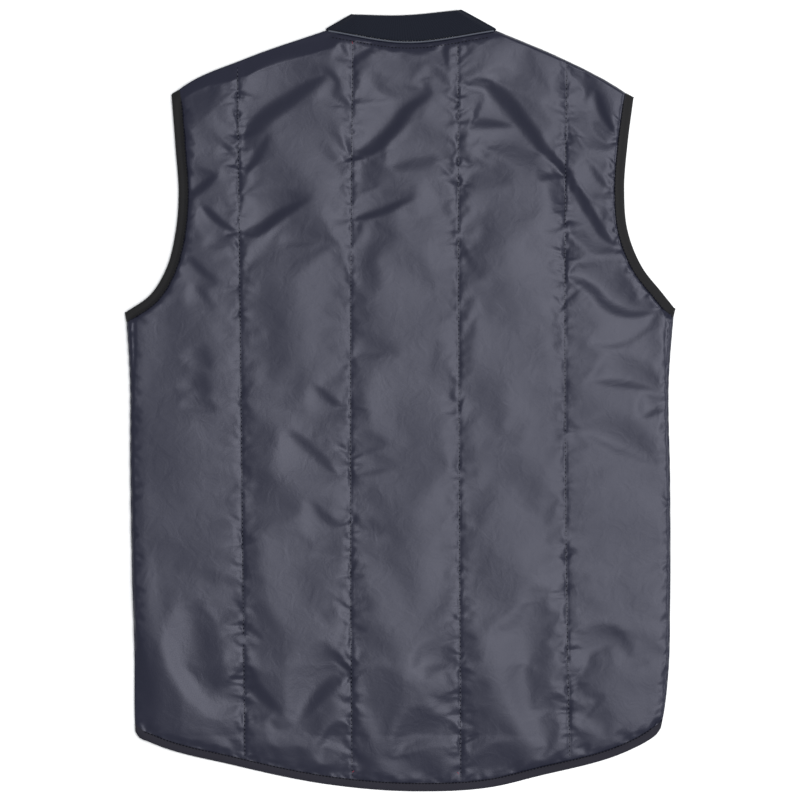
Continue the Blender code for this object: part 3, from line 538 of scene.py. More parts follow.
def grid_mesh(name, points):
    """A mesh through a grid of points in metres, columns by rows, with its cloth map in metres."""
    columns, rows = points.shape[0] - 1, points.shape[1] - 1
    bm = bmesh.new()
    bmesh.ops.create_grid(bm, x_segments=columns, y_segments=rows, size=1.0)
    mesh = bpy.data.meshes.new(name)
    bm.to_mesh(mesh)
    bm.free()
    flat = np.empty(len(mesh.vertices) * 3, np.float32)
    mesh.vertices.foreach_get("co", flat)
    flat = flat.reshape(-1, 3)
    column = np.rint((flat[:, 0] + 1) / 2 * columns).astype(int)
    row = np.rint((flat[:, 1] + 1) / 2 * rows).astype(int)
    place = mesh.attributes.new("place", "INT", "POINT")
    place.data.foreach_set("value", (column * (rows + 1) + row).astype(np.int32))
    mesh.vertices.foreach_set("co", points[column, row].astype(np.float32).ravel())
    across = np.linalg.norm(np.diff(points, axis=0), axis=2).mean(axis=1)
    along = np.linalg.norm(np.diff(points, axis=1), axis=2).mean(axis=0)
    u = np.concatenate([[0.0], np.cumsum(across)])[column]
    v = np.concatenate([[0.0], np.cumsum(along)])[row]
    layer = mesh.uv_layers.new(name="cloth")
    corner = np.empty(len(mesh.loops), np.int32)
    mesh.loops.foreach_get("vertex_index", corner)
    layer.uv.foreach_set("vector", np.stack([u[corner], v[corner]], axis=1).astype(np.float32).ravel())
    mesh.shade_smooth()
    mesh.update()
    return mesh


def new_piece(name, mesh, material, replaces=()):
    piece = bpy.data.objects.new(name, mesh)
    bpy.context.scene.collection.objects.link(piece)
    mesh.materials.append(material)
    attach(piece, BODY)
    if replaces:
        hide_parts(*replaces)
    return piece


def bmesh_piece(name, bm, material, replaces=()):
    bmesh.ops.recalc_face_normals(bm, faces=bm.faces)
    mesh = bpy.data.meshes.new(name)
    bm.to_mesh(mesh)
    bm.free()
    mesh.shade_smooth()
    return new_piece(name, mesh, material, replaces)


# Materials

def node_group(name, inputs, outputs):
    """An empty shader node group with named sockets, and its input and output nodes."""
    group = bpy.data.node_groups.new(name, "ShaderNodeTree")
    for label, kind, default in inputs:
        socket = group.interface.new_socket(label, in_out="INPUT", socket_type=kind)
        if default is not None:
            socket.default_value = default
    for label, kind in outputs:
        group.interface.new_socket(label, in_out="OUTPUT", socket_type=kind)
    return group, group.nodes.new("NodeGroupInput"), group.nodes.new("NodeGroupOutput")


def add_node(tree, kind, inputs=None, **settings):
    """A node with its settings, and its inputs either linked from a socket or given a value."""
    node = tree.nodes.new(kind)
    for key, value in settings.items():
        setattr(node, key, value)
    for key, value in (inputs or {}).items():
        if isinstance(value, bpy.types.NodeSocket):
            tree.links.new(value, node.inputs[key])
        else:
            node.inputs[key].default_value = value
    return node


def math_node(tree, operation, first, second=0.0):
    return add_node(tree, "ShaderNodeMath", {0: first, 1: second}, operation=operation).outputs[0]


def weave_group():
    """Plain weave: raised threads that cross over and under, as a height between 0 and 1."""
    if "Plain weave" in bpy.data.node_groups:
        return bpy.data.node_groups["Plain weave"]
    tree, given, made = node_group(
        "Plain weave",
        [("Vector", "NodeSocketVector", None), ("Thread", "NodeSocketFloat", 0.0006),
         ("Slub", "NodeSocketFloat", 0.3)],
        [("Height", "NodeSocketFloat")],
    )
    parts = add_node(tree, "ShaderNodeSeparateXYZ", {0: given.outputs["Vector"]})
    half_turns = [math_node(tree, "MULTIPLY", parts.outputs[k], math.pi) for k in (0, 1)]
    turns = [math_node(tree, "DIVIDE", half_turn, given.outputs["Thread"]) for half_turn in half_turns]
    warp, weft = (math_node(tree, "SINE", turn) for turn in turns)
    over = math_node(tree, "MULTIPLY", warp, weft)
    thread = math_node(tree, "ADD", math_node(tree, "MULTIPLY", over, 0.5), 0.5)
    slub = add_node(
        tree, "ShaderNodeTexNoise",
        {"Vector": given.outputs["Vector"], "Scale": 420.0, "Detail": 3.0, "Roughness": 0.6},
    )
    mixed = add_node(
        tree, "ShaderNodeMix",
        {0: given.outputs["Slub"], 2: thread, 3: slub.outputs["Fac"]}, data_type="FLOAT",
    )
    tree.links.new(mixed.outputs[0], made.inputs["Height"])
    return tree


def crinkle_group():
    """Fine crinkles and handling marks in thin cloth: a height and a slow mottle, both between 0 and 1."""
    if "Cloth crinkle" in bpy.data.node_groups:
        return bpy.data.node_groups["Cloth crinkle"]
    tree, given, made = node_group(
        "Cloth crinkle",
        [("Vector", "NodeSocketVector", None), ("Scale", "NodeSocketFloat", 40.0)],
        [("Height", "NodeSocketFloat"), ("Mottle", "NodeSocketFloat")],
    )
    fine = add_node(
        tree, "ShaderNodeTexNoise",
        {"Vector": given.outputs["Vector"], "Scale": given.outputs["Scale"], "Detail": 4.0,
         "Roughness": 0.55, "Distortion": 0.6},
    )
    slow = add_node(
        tree, "ShaderNodeTexNoise",
        {"Vector": given.outputs["Vector"], "Scale": 9.0, "Detail": 3.0, "Roughness": 0.5},
    )
    tree.links.new(fine.outputs["Fac"], made.inputs["Height"])
    tree.links.new(slow.outputs["Fac"], made.inputs["Mottle"])
    return tree


def use_group(tree, group, inputs):
    return add_node(tree, "ShaderNodeGroup", inputs, node_tree=group)


def new_material(name, roughness, specular, sheen=0.0, metallic=0.0):
    """A Principled material with its constant values set, and its tree and shader."""
    material = bpy.data.materials.new(name)
    material.use_nodes = True
    shader = material.node_tree.nodes["Principled BSDF"]
    shader.inputs["Roughness"].default_value = roughness
    shader.inputs["Specular IOR Level"].default_value = specular
    shader.inputs["Sheen Weight"].default_value = sheen
    shader.inputs["Sheen Roughness"].default_value = 0.4
    shader.inputs["Metallic"].default_value = metallic
    return material, material.node_tree, shader


def bumped(tree, height, strength, distance, under=None):
    inputs = {"Height": height, "Strength": strength, "Distance": distance}
    if under is not None:
        inputs["Normal"] = under
    return add_node(tree, "ShaderNodeBump", inputs).outputs["Normal"]


def two_tone(tree, factor, dark, light):
    mix = add_node(
        tree, "ShaderNodeMix", {0: factor, 6: (*dark, 1.0), 7: (*light, 1.0)}, data_type="RGBA"
    )
    return mix.outputs[2]


def shades(tone, dark, light):
    """A darker and a lighter shade of a tone."""
    return [dark * part for part in tone], [light * part for part in tone]


def shell_material(colours):
    """Navy nylon with a satin face: fine weave, soft crinkles and a slow change of tone."""
    if "Navy nylon" in bpy.data.materials:
        return bpy.data.materials["Navy nylon"]
    material, tree, shader = new_material("Navy nylon", 0.34, 0.26)
    shader.inputs["Specular Tint"].default_value = (0.85, 0.855, 1.0, 1.0)
    place = add_node(tree, "ShaderNodeTexCoord").outputs["Object"]
    crinkle = use_group(tree, crinkle_group(), {"Vector": place, "Scale": 55.0})
    weave = use_group(tree, weave_group(), {"Vector": place, "Thread": 0.0007, "Slub": 0.35})
    tree.links.new(
        two_tone(tree, crinkle.outputs["Mottle"], colours.shell, colours.shell_light),
        shader.inputs["Base Color"],
    )
    rough = add_node(
        tree, "ShaderNodeMapRange", {"Value": crinkle.outputs["Mottle"], "To Min": 0.29, "To Max": 0.39}
    )
    tree.links.new(rough.outputs[0], shader.inputs["Roughness"])
    soft = bumped(tree, crinkle.outputs["Height"], 0.22, 0.0012)
    tree.links.new(bumped(tree, weave.outputs["Height"], 0.12, 0.0002, soft), shader.inputs["Normal"])
    return material


def rib_material(colours):
    """Dark navy rib knit: columns of small loops with a dull, slightly hairy face."""
    material, tree, shader = new_material("Navy rib knit", 0.85, 0.15, sheen=0.12)
    cloth = add_node(tree, "ShaderNodeUVMap", uv_map="cloth").outputs["UV"]
    weave = use_group(tree, weave_group(), {"Vector": cloth, "Thread": 0.0008, "Slub": 0.45})
    # The tone follows the knit's height: painted shade in the hollows between the loops, and painted light on
    # their tops
    tone = two_tone(tree, weave.outputs["Height"], *shades(colours.rib, 0.7, 1.35))
    tree.links.new(tone, shader.inputs["Base Color"])
    tree.links.new(bumped(tree, weave.outputs["Height"], 0.6, 0.0004), shader.inputs["Normal"])
    return material


def tape_material(name, tone):
    """Matt woven tape: ribs across it and a little fluff."""
    material, tree, shader = new_material(name, 0.7, 0.2, sheen=0.08)
    cloth = add_node(tree, "ShaderNodeUVMap", uv_map="cloth").outputs["UV"]
    weave = use_group(tree, weave_group(), {"Vector": cloth, "Thread": 0.0009, "Slub": 0.3})
    crinkle = use_group(tree, crinkle_group(), {"Vector": cloth, "Scale": 90.0})
    mixed = two_tone(tree, crinkle.outputs["Mottle"], *shades(tone, 0.75, 1.4))
    tree.links.new(mixed, shader.inputs["Base Color"])
    soft = bumped(tree, crinkle.outputs["Height"], 0.4, 0.0010)
    tree.links.new(bumped(tree, weave.outputs["Height"], 0.5, 0.0003, soft), shader.inputs["Normal"])
    return material


def trim_material(name, tone, roughness, specular, grain=700.0):
    """Thread, piping or lacquer: one tone broken by a fine grain."""
    if name in bpy.data.materials:
        return bpy.data.materials[name]
    material, tree, shader = new_material(name, roughness, specular)
    place = add_node(tree, "ShaderNodeTexCoord").outputs["Object"]
    noise = add_node(tree, "ShaderNodeTexNoise", {"Vector": place, "Scale": grain, "Detail": 3.0})
    mixed = two_tone(tree, noise.outputs["Fac"], *shades(tone, 0.7, 1.3))
    tree.links.new(mixed, shader.inputs["Base Color"])
    tree.links.new(bumped(tree, noise.outputs["Fac"], 0.4, 0.0002), shader.inputs["Normal"])
    return material


# Pieces

# Cells of the grids, and steps of the simulation
CHANNEL_COLUMNS = 30
LOW_ROWS = 150
HIGH_ROWS = 100
FINE_COLUMNS = 210
FINE_ROWS = 470
FRONT_COLUMNS = 84
BACK_COLLAR_CELLS = 480
FRONT_COLLAR_CELLS = 380
SIM_FRAMES = 12

# Places and sizes, in millimetres
UNDERARM_LEVEL = 75.0
TUCK = 2.0
FRONT_QUILTING = (62.0, 168.0)
FRONT_NECK_DROP = 94.0
OPENING_HALF_GAP = 0.2
COLLAR_WALL = 3.0
COLLAR_FRONT_DEPTH = 30.0
PIPING_RADIUS = 0.85
PIPING_RISE = 3.0
PLACKET_HALF_WIDTH = 15
PLACKET_END_CLEAR = 15
PLACKET_UP = 2.95
STUD_UPS = (255.0, 112.5, -30.0, -172.5, -315.0)
STUD_FROM_OPENING = 9
STUD_RISE = 0.62
STUD_HEIGHT = 0.85
FLOOR_GAP = 0.05
# How far a folded end reaches past the fold
FOLD_REACH = 1.5

# Round the collar's edge: share of the way from the seam to the free edge, and share of the thickness
COLLAR_SECTION = (
    (0.0, 0.25), (0.0, 0.70), (0.03, 0.93), (0.12, 1.0), (0.30, 1.05), (0.50, 1.08), (0.70, 1.06),
    (0.86, 1.0), (0.95, 0.88), (0.99, 0.68), (1.0, 0.45), (0.985, 0.22), (0.94, 0.06), (0.80, 0.0),
    (0.40, 0.0), (0.06, 0.04),
)
# Round a tape: how far in from the edge, as a share of the width, the face it follows, and the rise from it
TAPE_SECTION = (
    (1.0, "over", -0.15), (0.985, "over", 0.55), (0.90, "over", 0.72), (0.70, "over", 0.86),
    (0.50, "over", 0.92), (0.30, "over", 0.82), (0.16, "over", 0.55), (0.06, "over", 0.10),
    (0.015, "over", -0.60), (0.0, "inside", 1.10), (0.015, "inside", 0.55), (0.07, "inside", 0.15),
    (0.20, "inside", 0.02), (0.85, "inside", 0.02),
)

# Rows of stitches: pitch and rise in millimetres, the share of the pitch that shows, and how thick the thread is
# against the quilting thread. The quilting takes its pitch from the settings
Stitch = namedtuple("Stitch", "pitch share lift bulk")
QUILTING = Stitch(None, 0.62, -0.10, 1.0)
# Dark spots at the needle holes between the quilting stitches: painted shade
NEEDLE_HOLE_SHADE = Stitch(None, 0.34, -0.25, 1.5)
TAPE_STITCH = Stitch(3.4, 0.85, 0.66, 1.7)
NECK_STITCH = Stitch(3.6, 0.6, 0.0, 1.5)
RED_STITCH = Stitch(1.4, 0.8, 0.5, 1.0)
ARMHOLE_STITCH_INSET = 9.5
HEM_STITCH_INSET = 8.0
NECK_STITCH_INSET = 6.0
RED_END = 2.6
# Near-black: painted shade in the needle holes, and the colour of the tape and neck threads, darkened as painted
# shade along their seams
THREAD_AND_HOLE_SHADE = (0.004, 0.004, 0.007)
# Where the quilting thread is tied off in red, and which way each end points
RED_ENDS = (((-48.0, 363.5), 1.9), ((-49.0, -379.5), 0.6), ((60.2, -381.5), 2.2))

# The studio, in metres and watts
Light = namedtuple("Light", "name place width height power")
LIGHTS = (
    Light("overhead", (0.95, 0.02, 6.0), 3.0, 1.66, 212),
    Light("right fill", (4.0, 0.1, 2.5), 2.0, 2.0, 95),
)
CAMERA_PLACE = (0.0, 0.0005, 9.0)
# Height of the cloth on which the frame's width is measured
FRAMED_HEIGHT = 0.008
FLOOR_UP = -0.0002


def back_plan():
    """The back's points in the plan, in millimetres, with a quilting line at the end of every channel. They
    lie closer together towards the edges, which roll down sharply."""
    low_share = np.linspace(0, 1, LOW_ROWS + 1) ** 1.15
    high_share = 1 - (1 - np.linspace(0, 1, HIGH_ROWS + 1)) ** 1.25
    sides = []
    for side in (LEFT, RIGHT):
        low = smooth_curve(edge_points(SIDE_EDGE, side))
        low = points_at(low, low_share * lengths_along(low)[-1])
        high = smooth_curve(edge_points(ARMHOLE_EDGE, side))
        high = points_at(high, high_share * lengths_along(high)[-1])
        high += side * TUCK * smoothstep(np.arange(HIGH_ROWS + 1) / 6)[:, None] * left_normals(high)
        sides.append(np.vstack([low[:-1], high]))
    hem = hem_line(800)
    hem += TUCK * left_normals(hem)
    left, right = edge_line(SHOULDER_EDGE, LEFT, 200), edge_line(SHOULDER_EDGE, RIGHT, 200)[::-1]
    top = np.vstack([left, neck_seam(300)[1:-1], right])
    share = np.linspace(0, 1, CHANNEL_COLUMNS + 1)
    share = share - 0.36 * np.sin(math.tau * share) / math.tau
    hem_stops = [hem[0, 0]] + [line.hem_x for line in QUILT_LINES] + [hem[-1, 0]]
    top_stops = [top[0, 0]] + [line.top_x for line in QUILT_LINES] + [top[-1, 0]]
    uprights = [sides[0]]
    for line in QUILT_LINES:
        low = np.interp(line.hem_x, hem[:, 0], hem[:, 1])
        high = np.interp(line.top_x, top[:, 0], top[:, 1])
        up = np.concatenate([
            low + low_share * (UNDERARM_LEVEL - low), UNDERARM_LEVEL + high_share[1:] * (high - UNDERARM_LEVEL)
        ])
        uprights.append(np.stack([quilt_x(line, up), up], axis=1))
    uprights.append(sides[1])
    columns = []
    last = len(uprights) - 2
    for k in range(last + 1):
        spread = share**1.3 if k == 0 else 1 - (1 - share) ** 1.3 if k == last else share
        edges = []
        for line, stops, end in ((hem, hem_stops, 0), (top, top_stops, -1)):
            x = stops[k] + spread * (stops[k + 1] - stops[k])
            edge = np.stack([x, np.interp(x, line[:, 0], line[:, 1])], axis=1)
            edge[0], edge[-1] = uprights[k][end], uprights[k + 1][end]
            edges.append(edge)
        patch = coons(uprights[k], uprights[k + 1], *edges)
        columns.append(patch if k == 0 else patch[1:])
    return np.concatenate(columns)


def held_points(plan):
    """Which of the back's points are sewn down: the quilting lines, the edges and what is under the tapes."""
    held = np.zeros(plan.shape[:2], bool)
    held[::CHANNEL_COLUMNS] = held[:, 0] = held[:, -1] = True
    flat = plan.reshape(-1, 2)
    for line, width in (
        (edge_line(ARMHOLE_EDGE, LEFT), 9), (edge_line(ARMHOLE_EDGE, RIGHT), 9), (hem_line(), 7.5),
        (neck_seam(), 2),
    ):
        held |= (apart(flat, line) < width).reshape(held.shape)
    return held


def draped(points, held, slack):
    """The cloth after a short simulation: padding lifts it, and spare length buckles between the seams."""
    scene = bpy.context.scene
    mesh = grid_mesh("drape", points)
    cloth = bpy.data.objects.new("drape", mesh)
    scene.collection.objects.link(cloth)
    column, row = grid_places(mesh, points.shape)
    pins = cloth.vertex_groups.new(name="sewn")
    pins.add(np.flatnonzero(held[column, row]).tolist(), 1.0, "REPLACE")
    taut = cloth.vertex_groups.new(name="taut")
    for index, weight in enumerate((1 - slack[column, row]).tolist()):
        taut.add([index], weight, "REPLACE")
    modifier = cloth.modifiers.new("Cloth", "CLOTH")
    settings = modifier.settings
    settings.quality = 5
    settings.mass = 0.15
    settings.tension_stiffness = settings.compression_stiffness = 40
    settings.shear_stiffness = 20
    settings.bending_stiffness = 3.0
    settings.tension_damping = settings.compression_damping = settings.shear_damping = 25
    settings.air_damping = 5
    settings.vertex_group_mass = "sewn"
    settings.pin_stiffness = 50
    settings.vertex_group_shrink = "taut"
    settings.shrink_min = -0.012
    settings.shrink_max = 0.0
    settings.use_pressure = True
    settings.uniform_pressure_force = 0.12
    settings.effector_weights.gravity = 0.0
    modifier.collision_settings.use_collision = False
    for step in range(1, SIM_FRAMES + 1):
        scene.frame_set(step)
    baked = cloth.evaluated_get(bpy.context.evaluated_depsgraph_get()).to_mesh()
    place = np.empty(len(mesh.vertices) * 3, np.float32)
    baked.vertices.foreach_get("co", place)
    result = points.copy()
    result[column, row] = place.reshape(-1, 3)
    scene.frame_set(1)
    bpy.data.objects.remove(cloth)
    bpy.data.meshes.remove(mesh)
    return result


def finer(points, columns, rows):
    """The same surface through a finer grid, smooth in both directions."""
    for axis, cells in ((0, columns), (1, rows)):
        count = points.shape[axis]
        points = np.moveaxis(points, axis, 0)
        at = np.linspace(0, count - 1, cells + 1)
        k = np.clip(at.astype(int), 0, count - 2)
        t = (at - k).reshape(-1, 1, 1)
        before, after = points[np.maximum(k - 1, 0)], points[np.minimum(k + 2, count - 1)]
        first, second = points[k], points[k + 1]
        points = first + 0.5 * t * (
            second - before
            + t * (2 * before - 5 * first + 4 * second - after + t * (3 * (first - second) + after - before))
        )
        points = np.moveaxis(points, 0, axis)
    return points


def draw_in_sewing(points, sizes):
    """Draws a finer grid, in metres, in at the sewing: grooves along the seams and puckers beside them."""
    flat = points[..., :2].reshape(-1, 2) / MM
    rise = np.zeros(len(flat))
    for line in QUILT_LINES:
        away = np.abs(flat[:, 0] - quilt_x(line, flat[:, 1]))
        rise -= 0.15 * np.exp(-((away / 1.2) ** 2))
    for seam in SIDE_SEAMS:
        rise -= 0.5 * np.exp(-((apart(flat, spaced(smooth_curve(seam), 60)) / 1.3) ** 2))
    press_puckers(flat, rise, sizes.pucker_seed)
    press_edge_puckers(flat, rise, sizes.pucker_seed)
    points[..., 2] += rise.reshape(points.shape[:2]) * MM


def front_plan(side):
    """One front's points in the plan, from the side fold to the opening and from the hem to the shoulder."""
    low = spaced(smooth_curve(edge_points(SIDE_EDGE, side)), LOW_ROWS)
    high = edge_line(ARMHOLE_EDGE, side, HIGH_ROWS)
    high += side * TUCK * smoothstep(np.arange(HIGH_ROWS + 1) / 6)[:, None] * left_normals(high)
    edge = np.vstack([low[:-1], high])
    neck = edge_points(SHOULDER_EDGE, side)[-1]
    angle = np.linspace(math.pi / 2, 0.0, 90)
    x = side * np.maximum(side * neck[0] * np.cos(angle), OPENING_HALF_GAP)
    neckline = np.stack([x, neck[1] - FRONT_NECK_DROP * np.sin(angle)], axis=1)
    opening = np.vstack([[(side * OPENING_HALF_GAP, FRONT_HEM_UP + TUCK)], neckline])
    middle = spaced(opening, len(edge) - 1)
    across = np.linspace(0, 1, FRONT_COLUMNS + 1)[:, None]
    hem = edge[0] + across * (middle[0] - edge[0])
    shoulder = edge_line(SHOULDER_EDGE, side, FRONT_COLUMNS)
    shoulder[0], shoulder[-1] = edge[-1], middle[-1]
    return coons(edge, middle, hem, shoulder)


def front_height(points, side, sizes):
    """Height of a front's outer face, which rests on the surface along the middles of its channels."""
    x, y = side * points[:, 0], points[:, 1]
    from_line = np.min([np.abs(x - line) for line in FRONT_QUILTING], axis=0)
    thick = 2.6 + 1.5 * (1 - np.exp(-from_line / 9))
    rng = np.random.default_rng(sizes.pucker_seed + 3 + side)
    for line in FRONT_QUILTING:
        at = FRONT_HEM_UP + 20
        while at < 330:
            for way in (-1, 1):
                reach, rise = rng.uniform(8, 26), rng.uniform(-6, 16)
                path = np.linspace((side * line, at), (side * (line + way * reach), at + rise), 9)
                press(points, thick, path, rng.uniform(4, 8), rng.uniform(0.2, 0.9))
            at += rng.uniform(9, 22)
    for crease in range(9):
        start = np.array((side * rng.uniform(70, 230), rng.uniform(-300, 250)))
        end = start + (rng.uniform(-45, 45), rng.uniform(-30, 60))
        press(points, thick, spaced(smooth_curve([start, (start + end) / 2 + 6, end]), 20), 14, 1.6)
    thick = np.clip(thick, 1.2, 4.05)
    thick = np.where(x < 23, thick + (3.0 - thick) * smoothstep((23 - x) / 6), thick)
    thick *= rolled(apart(points, edge_line(SIDE_EDGE, side, 300)) / (sizes.side_roll / MM))
    thick *= rolled(apart(points, edge_line(SHOULDER_EDGE, side)) / (sizes.shoulder_roll / MM))
    hem = np.array([(side * out, FRONT_HEM_UP) for out in np.linspace(0, 270, 200)])
    for line, width in ((edge_line(ARMHOLE_EDGE, side), sizes.armhole_tape), (hem, sizes.hem_tape)):
        past = (apart(points, line) - width / MM + 1.5) / 10
        thick = np.where(past > 0, 2.5 + (thick - 2.5) * rolled(past), np.minimum(thick, 2.5))
    return FOLD_HEIGHT - thick


def over_fold(ring, onward, steps=6):
    """Rings that turn a section over a fold from one layer to the other."""
    chord = ring[:, :2] - ring[0, :2]
    axis = chord[np.linalg.norm(chord, axis=1).argmax()]
    axis = axis / np.linalg.norm(axis)
    away = onward - axis * (onward @ axis)
    away = away / np.linalg.norm(away)
    rise = ring[:, 2] - FOLD_HEIGHT
    turned = []
    for angle in np.linspace(0.0, math.pi, steps + 1)[1:-1]:
        step = ring.copy()
        step[:, :2] += np.minimum(np.abs(rise), FOLD_REACH)[:, None] * math.sin(angle) * away
        step[:, 2] = FOLD_HEIGHT + rise * math.cos(angle)
        turned.append(step)
    return np.array(turned)


def to_front(rings):
    """Sections on the back's layer as they are on the front's layer."""
    return rings * (1, 1, -1) + (0, 0, 2 * FOLD_HEIGHT)


def collar_points(sizes):
    """The collar band as sections, from the left end of the opening round the back to the right end."""
    seam = neck_seam(BACK_COLLAR_CELLS)
    seam = seam + 1.2 * left_normals(seam)
    tops = [edge_points([COLLAR_FOLD_TOP], side)[0] for side in (LEFT, RIGHT)]
    free = spaced(smooth_curve([tops[0], COLLAR_TOP_MIDDLE, tops[1]], 60), BACK_COLLAR_CELLS)
    across = collar_sections(seam, free)
    across[..., 2] -= settled(across[..., :2].reshape(-1, 2)).reshape(across.shape[:2])
    pinch_fold(across, np.minimum(lengths_along(seam), lengths_along(seam[::-1])[::-1]))
    fronts = []
    for side, start, top in ((LEFT, seam[0], tops[0]), (RIGHT, seam[-1], tops[1])):
        angle = np.linspace(math.pi / 2, 0.0, 120)
        reach = np.maximum(np.cos(angle), OPENING_HALF_GAP / 40)
        low = np.stack([start[0] * reach, start[1] - FRONT_NECK_DROP * np.sin(angle)], axis=1)
        drop = FRONT_NECK_DROP - COLLAR_FRONT_DEPTH + top[1] - start[1]
        high = np.stack([top[0] * reach, top[1] - drop * np.sin(angle)], axis=1)
        sections = collar_sections(spaced(low, FRONT_COLLAR_CELLS), spaced(high, FRONT_COLLAR_CELLS))
        pinch_fold(sections, lengths_along(spaced(low, FRONT_COLLAR_CELLS)[::-1])[::-1])
        fronts.append(to_front(sections))
    rings = np.concatenate([
        fronts[0], over_fold(fronts[0][-1], np.array((-1.0, 0.0))), across,
        over_fold(across[-1], np.array((1.0, 0.0))), fronts[1][::-1],
    ])
    middle = rings[:, : len(COLLAR_SECTION)].mean(axis=1)
    turn = lengths_along(middle) * math.tau / (sizes.rib_pitch / MM)
    swell = 1 + 0.075 * np.cos(turn)[:, None, None]
    return middle[:, None] + (rings - middle[:, None]) * np.concatenate(
        [np.ones_like(swell) + 0.2 * (swell - 1)] * 2 + [swell], axis=2
    )


def pinch_fold(sections, from_fold):
    """Flattens the collar's sections towards the folds above the shoulders."""
    share = (0.3 + 0.7 * smoothstep(from_fold / 9))[:, None]
    sections[..., 2] = FOLD_HEIGHT + (sections[..., 2] - FOLD_HEIGHT) * share


def collar_sections(seam, free):
    """Rounded sections of the collar between its seam and its free edge, on the back's layer."""
    share = np.array([place for place, rise in COLLAR_SECTION + COLLAR_SECTION[:1]])[None, :, None]
    rise = np.array([rise for place, rise in COLLAR_SECTION + COLLAR_SECTION[:1]])
    plan = seam[:, None] + share * (free - seam)[:, None]
    height = np.broadcast_to(BACK_INSIDE + COLLAR_WALL * rise, plan.shape[:2])
    return np.concatenate([plan, height[..., None]], axis=2)


def tape_sections(edge, inward, width, top, inside):
    """A tape folded over the edge of the back: rows from the end of its upper leg round to the lower one."""
    insets = np.array([inset for inset, leg, rise in TAPE_SECTION]) * width
    places = edge[:, None] + inward[:, None] * insets[None, :, None]
    over = [leg == "over" for inset, leg, rise in TAPE_SECTION]
    faces = [face(places.reshape(-1, 2)).reshape(places.shape[:2]) for face in (inside, top)]
    heights = np.where(over, faces[1], faces[0]) + [rise for inset, leg, rise in TAPE_SECTION]
    return np.concatenate([places, heights[..., None]], axis=2)


def turned_to(inward, ends, cells):
    """Inward directions that swing, over the last few cells, to lie along the fold at each end."""
    inward = inward.copy()
    for k in range(cells):
        share = smoothstep(1 - k / cells)
        inward[k] += share * (ends[0] - inward[k])
        inward[-1 - k] += share * (ends[1] - inward[-1 - k])
    return inward


def above_floor(rings):
    """Sections pressed flat where they would sink into the surface that the vest lies on."""
    rings[..., 2] = np.maximum(rings[..., 2], FLOOR_GAP)
    return rings


def back_faces(sizes):
    """The back's outer and inner faces, as heights over the plan."""
    return lambda place: back_height(place, sizes), lambda place: BACK_INSIDE - settled(place)


def front_face(side, sizes):
    """A front's outer face, as a height over the plan, turned to the back's layer."""
    return lambda place: 2 * FOLD_HEIGHT - front_height(place, side, sizes)


def armhole_tape_points(side, sizes):
    """A closed strip: up the back's armhole, over the shoulder and down the front's armhole."""
    width = sizes.armhole_tape / MM
    edge = edge_line(ARMHOLE_EDGE, side, 150)
    seat = edge_points(SIDE_EDGE, side)[-2] - edge[0]
    shoulder = edge_points(SHOULDER_EDGE, side)[1] - edge[-1]
    square_on = side * left_normals(edge)
    ends = [way / np.linalg.norm(way) for way in (seat, shoulder)]
    ends = [0.8 * ends[0] + 0.2 * square_on[0], 0.75 * ends[1] + 0.25 * square_on[-1]]
    inward = turned_to(square_on, ends, 7)
    outer, inner = back_faces(sizes)
    back = tape_sections(edge, inward, width, outer, inner)
    over = over_fold(back[-1], edge[-1] - edge[-2], 4)
    front = to_front(back)
    laid = to_front(tape_sections(edge, inward, width, front_face(side, sizes), inner))
    from_ends = np.minimum(np.arange(len(edge)), np.arange(len(edge))[::-1])
    front += smoothstep(from_ends / 12)[:, None, None] * (laid - front)
    front = front[::-1]
    under = over_fold(front[-1], edge[0] - edge[1], 4)
    return above_floor(np.concatenate([back, over, front, under, back[:1]]))


def hem_tape_points(sizes):
    """One strip from the opening along the left front, the back and the right front."""
    width = sizes.hem_tape / MM
    edge = hem_line(300)
    ends = [edge_points(SIDE_EDGE, side)[1] - edge[k] for side, k in ((LEFT, 0), (RIGHT, -1))]
    inward = turned_to(left_normals(edge), [way / np.linalg.norm(way) for way in ends], 6)
    back = tape_sections(edge, inward, width, *back_faces(sizes))
    fronts = []
    for side, corner in ((LEFT, edge[0]), (RIGHT, edge[-1])):
        line = np.linspace((side * OPENING_HALF_GAP, FRONT_HEM_UP), corner, 91)
        up = np.broadcast_to((0.0, 1.0), line.shape)
        inside = lambda place: np.full(len(place), 4.5)
        fronts.append(to_front(tape_sections(line, up, width, front_face(side, sizes), inside)))
    return above_floor(np.concatenate([fronts[0], back, fronts[1][::-1]]))


def tape_piece(name, points, material, node):
    """A tape from its sections, with faces outward."""
    mesh = grid_mesh(name, points[:, ::-1] * MM)
    return new_piece(name, mesh, material, (node,))


def close_ends(mesh, sides):
    """Joins a tube of a grid along its length and fills its two ends."""
    bm = bmesh.new()
    bm.from_mesh(mesh)
    bmesh.ops.remove_doubles(bm, verts=bm.verts, dist=1e-6)
    bmesh.ops.holes_fill(bm, edges=[edge for edge in bm.edges if edge.is_boundary], sides=sides)
    bmesh.ops.recalc_face_normals(bm, faces=bm.faces)
    bm.to_mesh(mesh)
    bm.free()
    mesh.shade_smooth()


def tube_piece(name, middle, radius, material, replaces):
    """A round cord along a line of points in millimetres."""
    along = np.gradient(middle, axis=0)
    along /= np.linalg.norm(along, axis=1)[:, None]
    side = np.cross(along, (0, 0, 1))
    side /= np.linalg.norm(side, axis=1)[:, None]
    up = np.cross(side, along)
    angle = np.linspace(0, math.tau, 13)[None, :, None]
    points = middle[:, None] + radius * (np.cos(angle) * side[:, None] + np.sin(angle) * up[:, None])
    mesh = grid_mesh(name, points * MM)
    close_ends(mesh, 12)
    return new_piece(name, mesh, material, replaces)


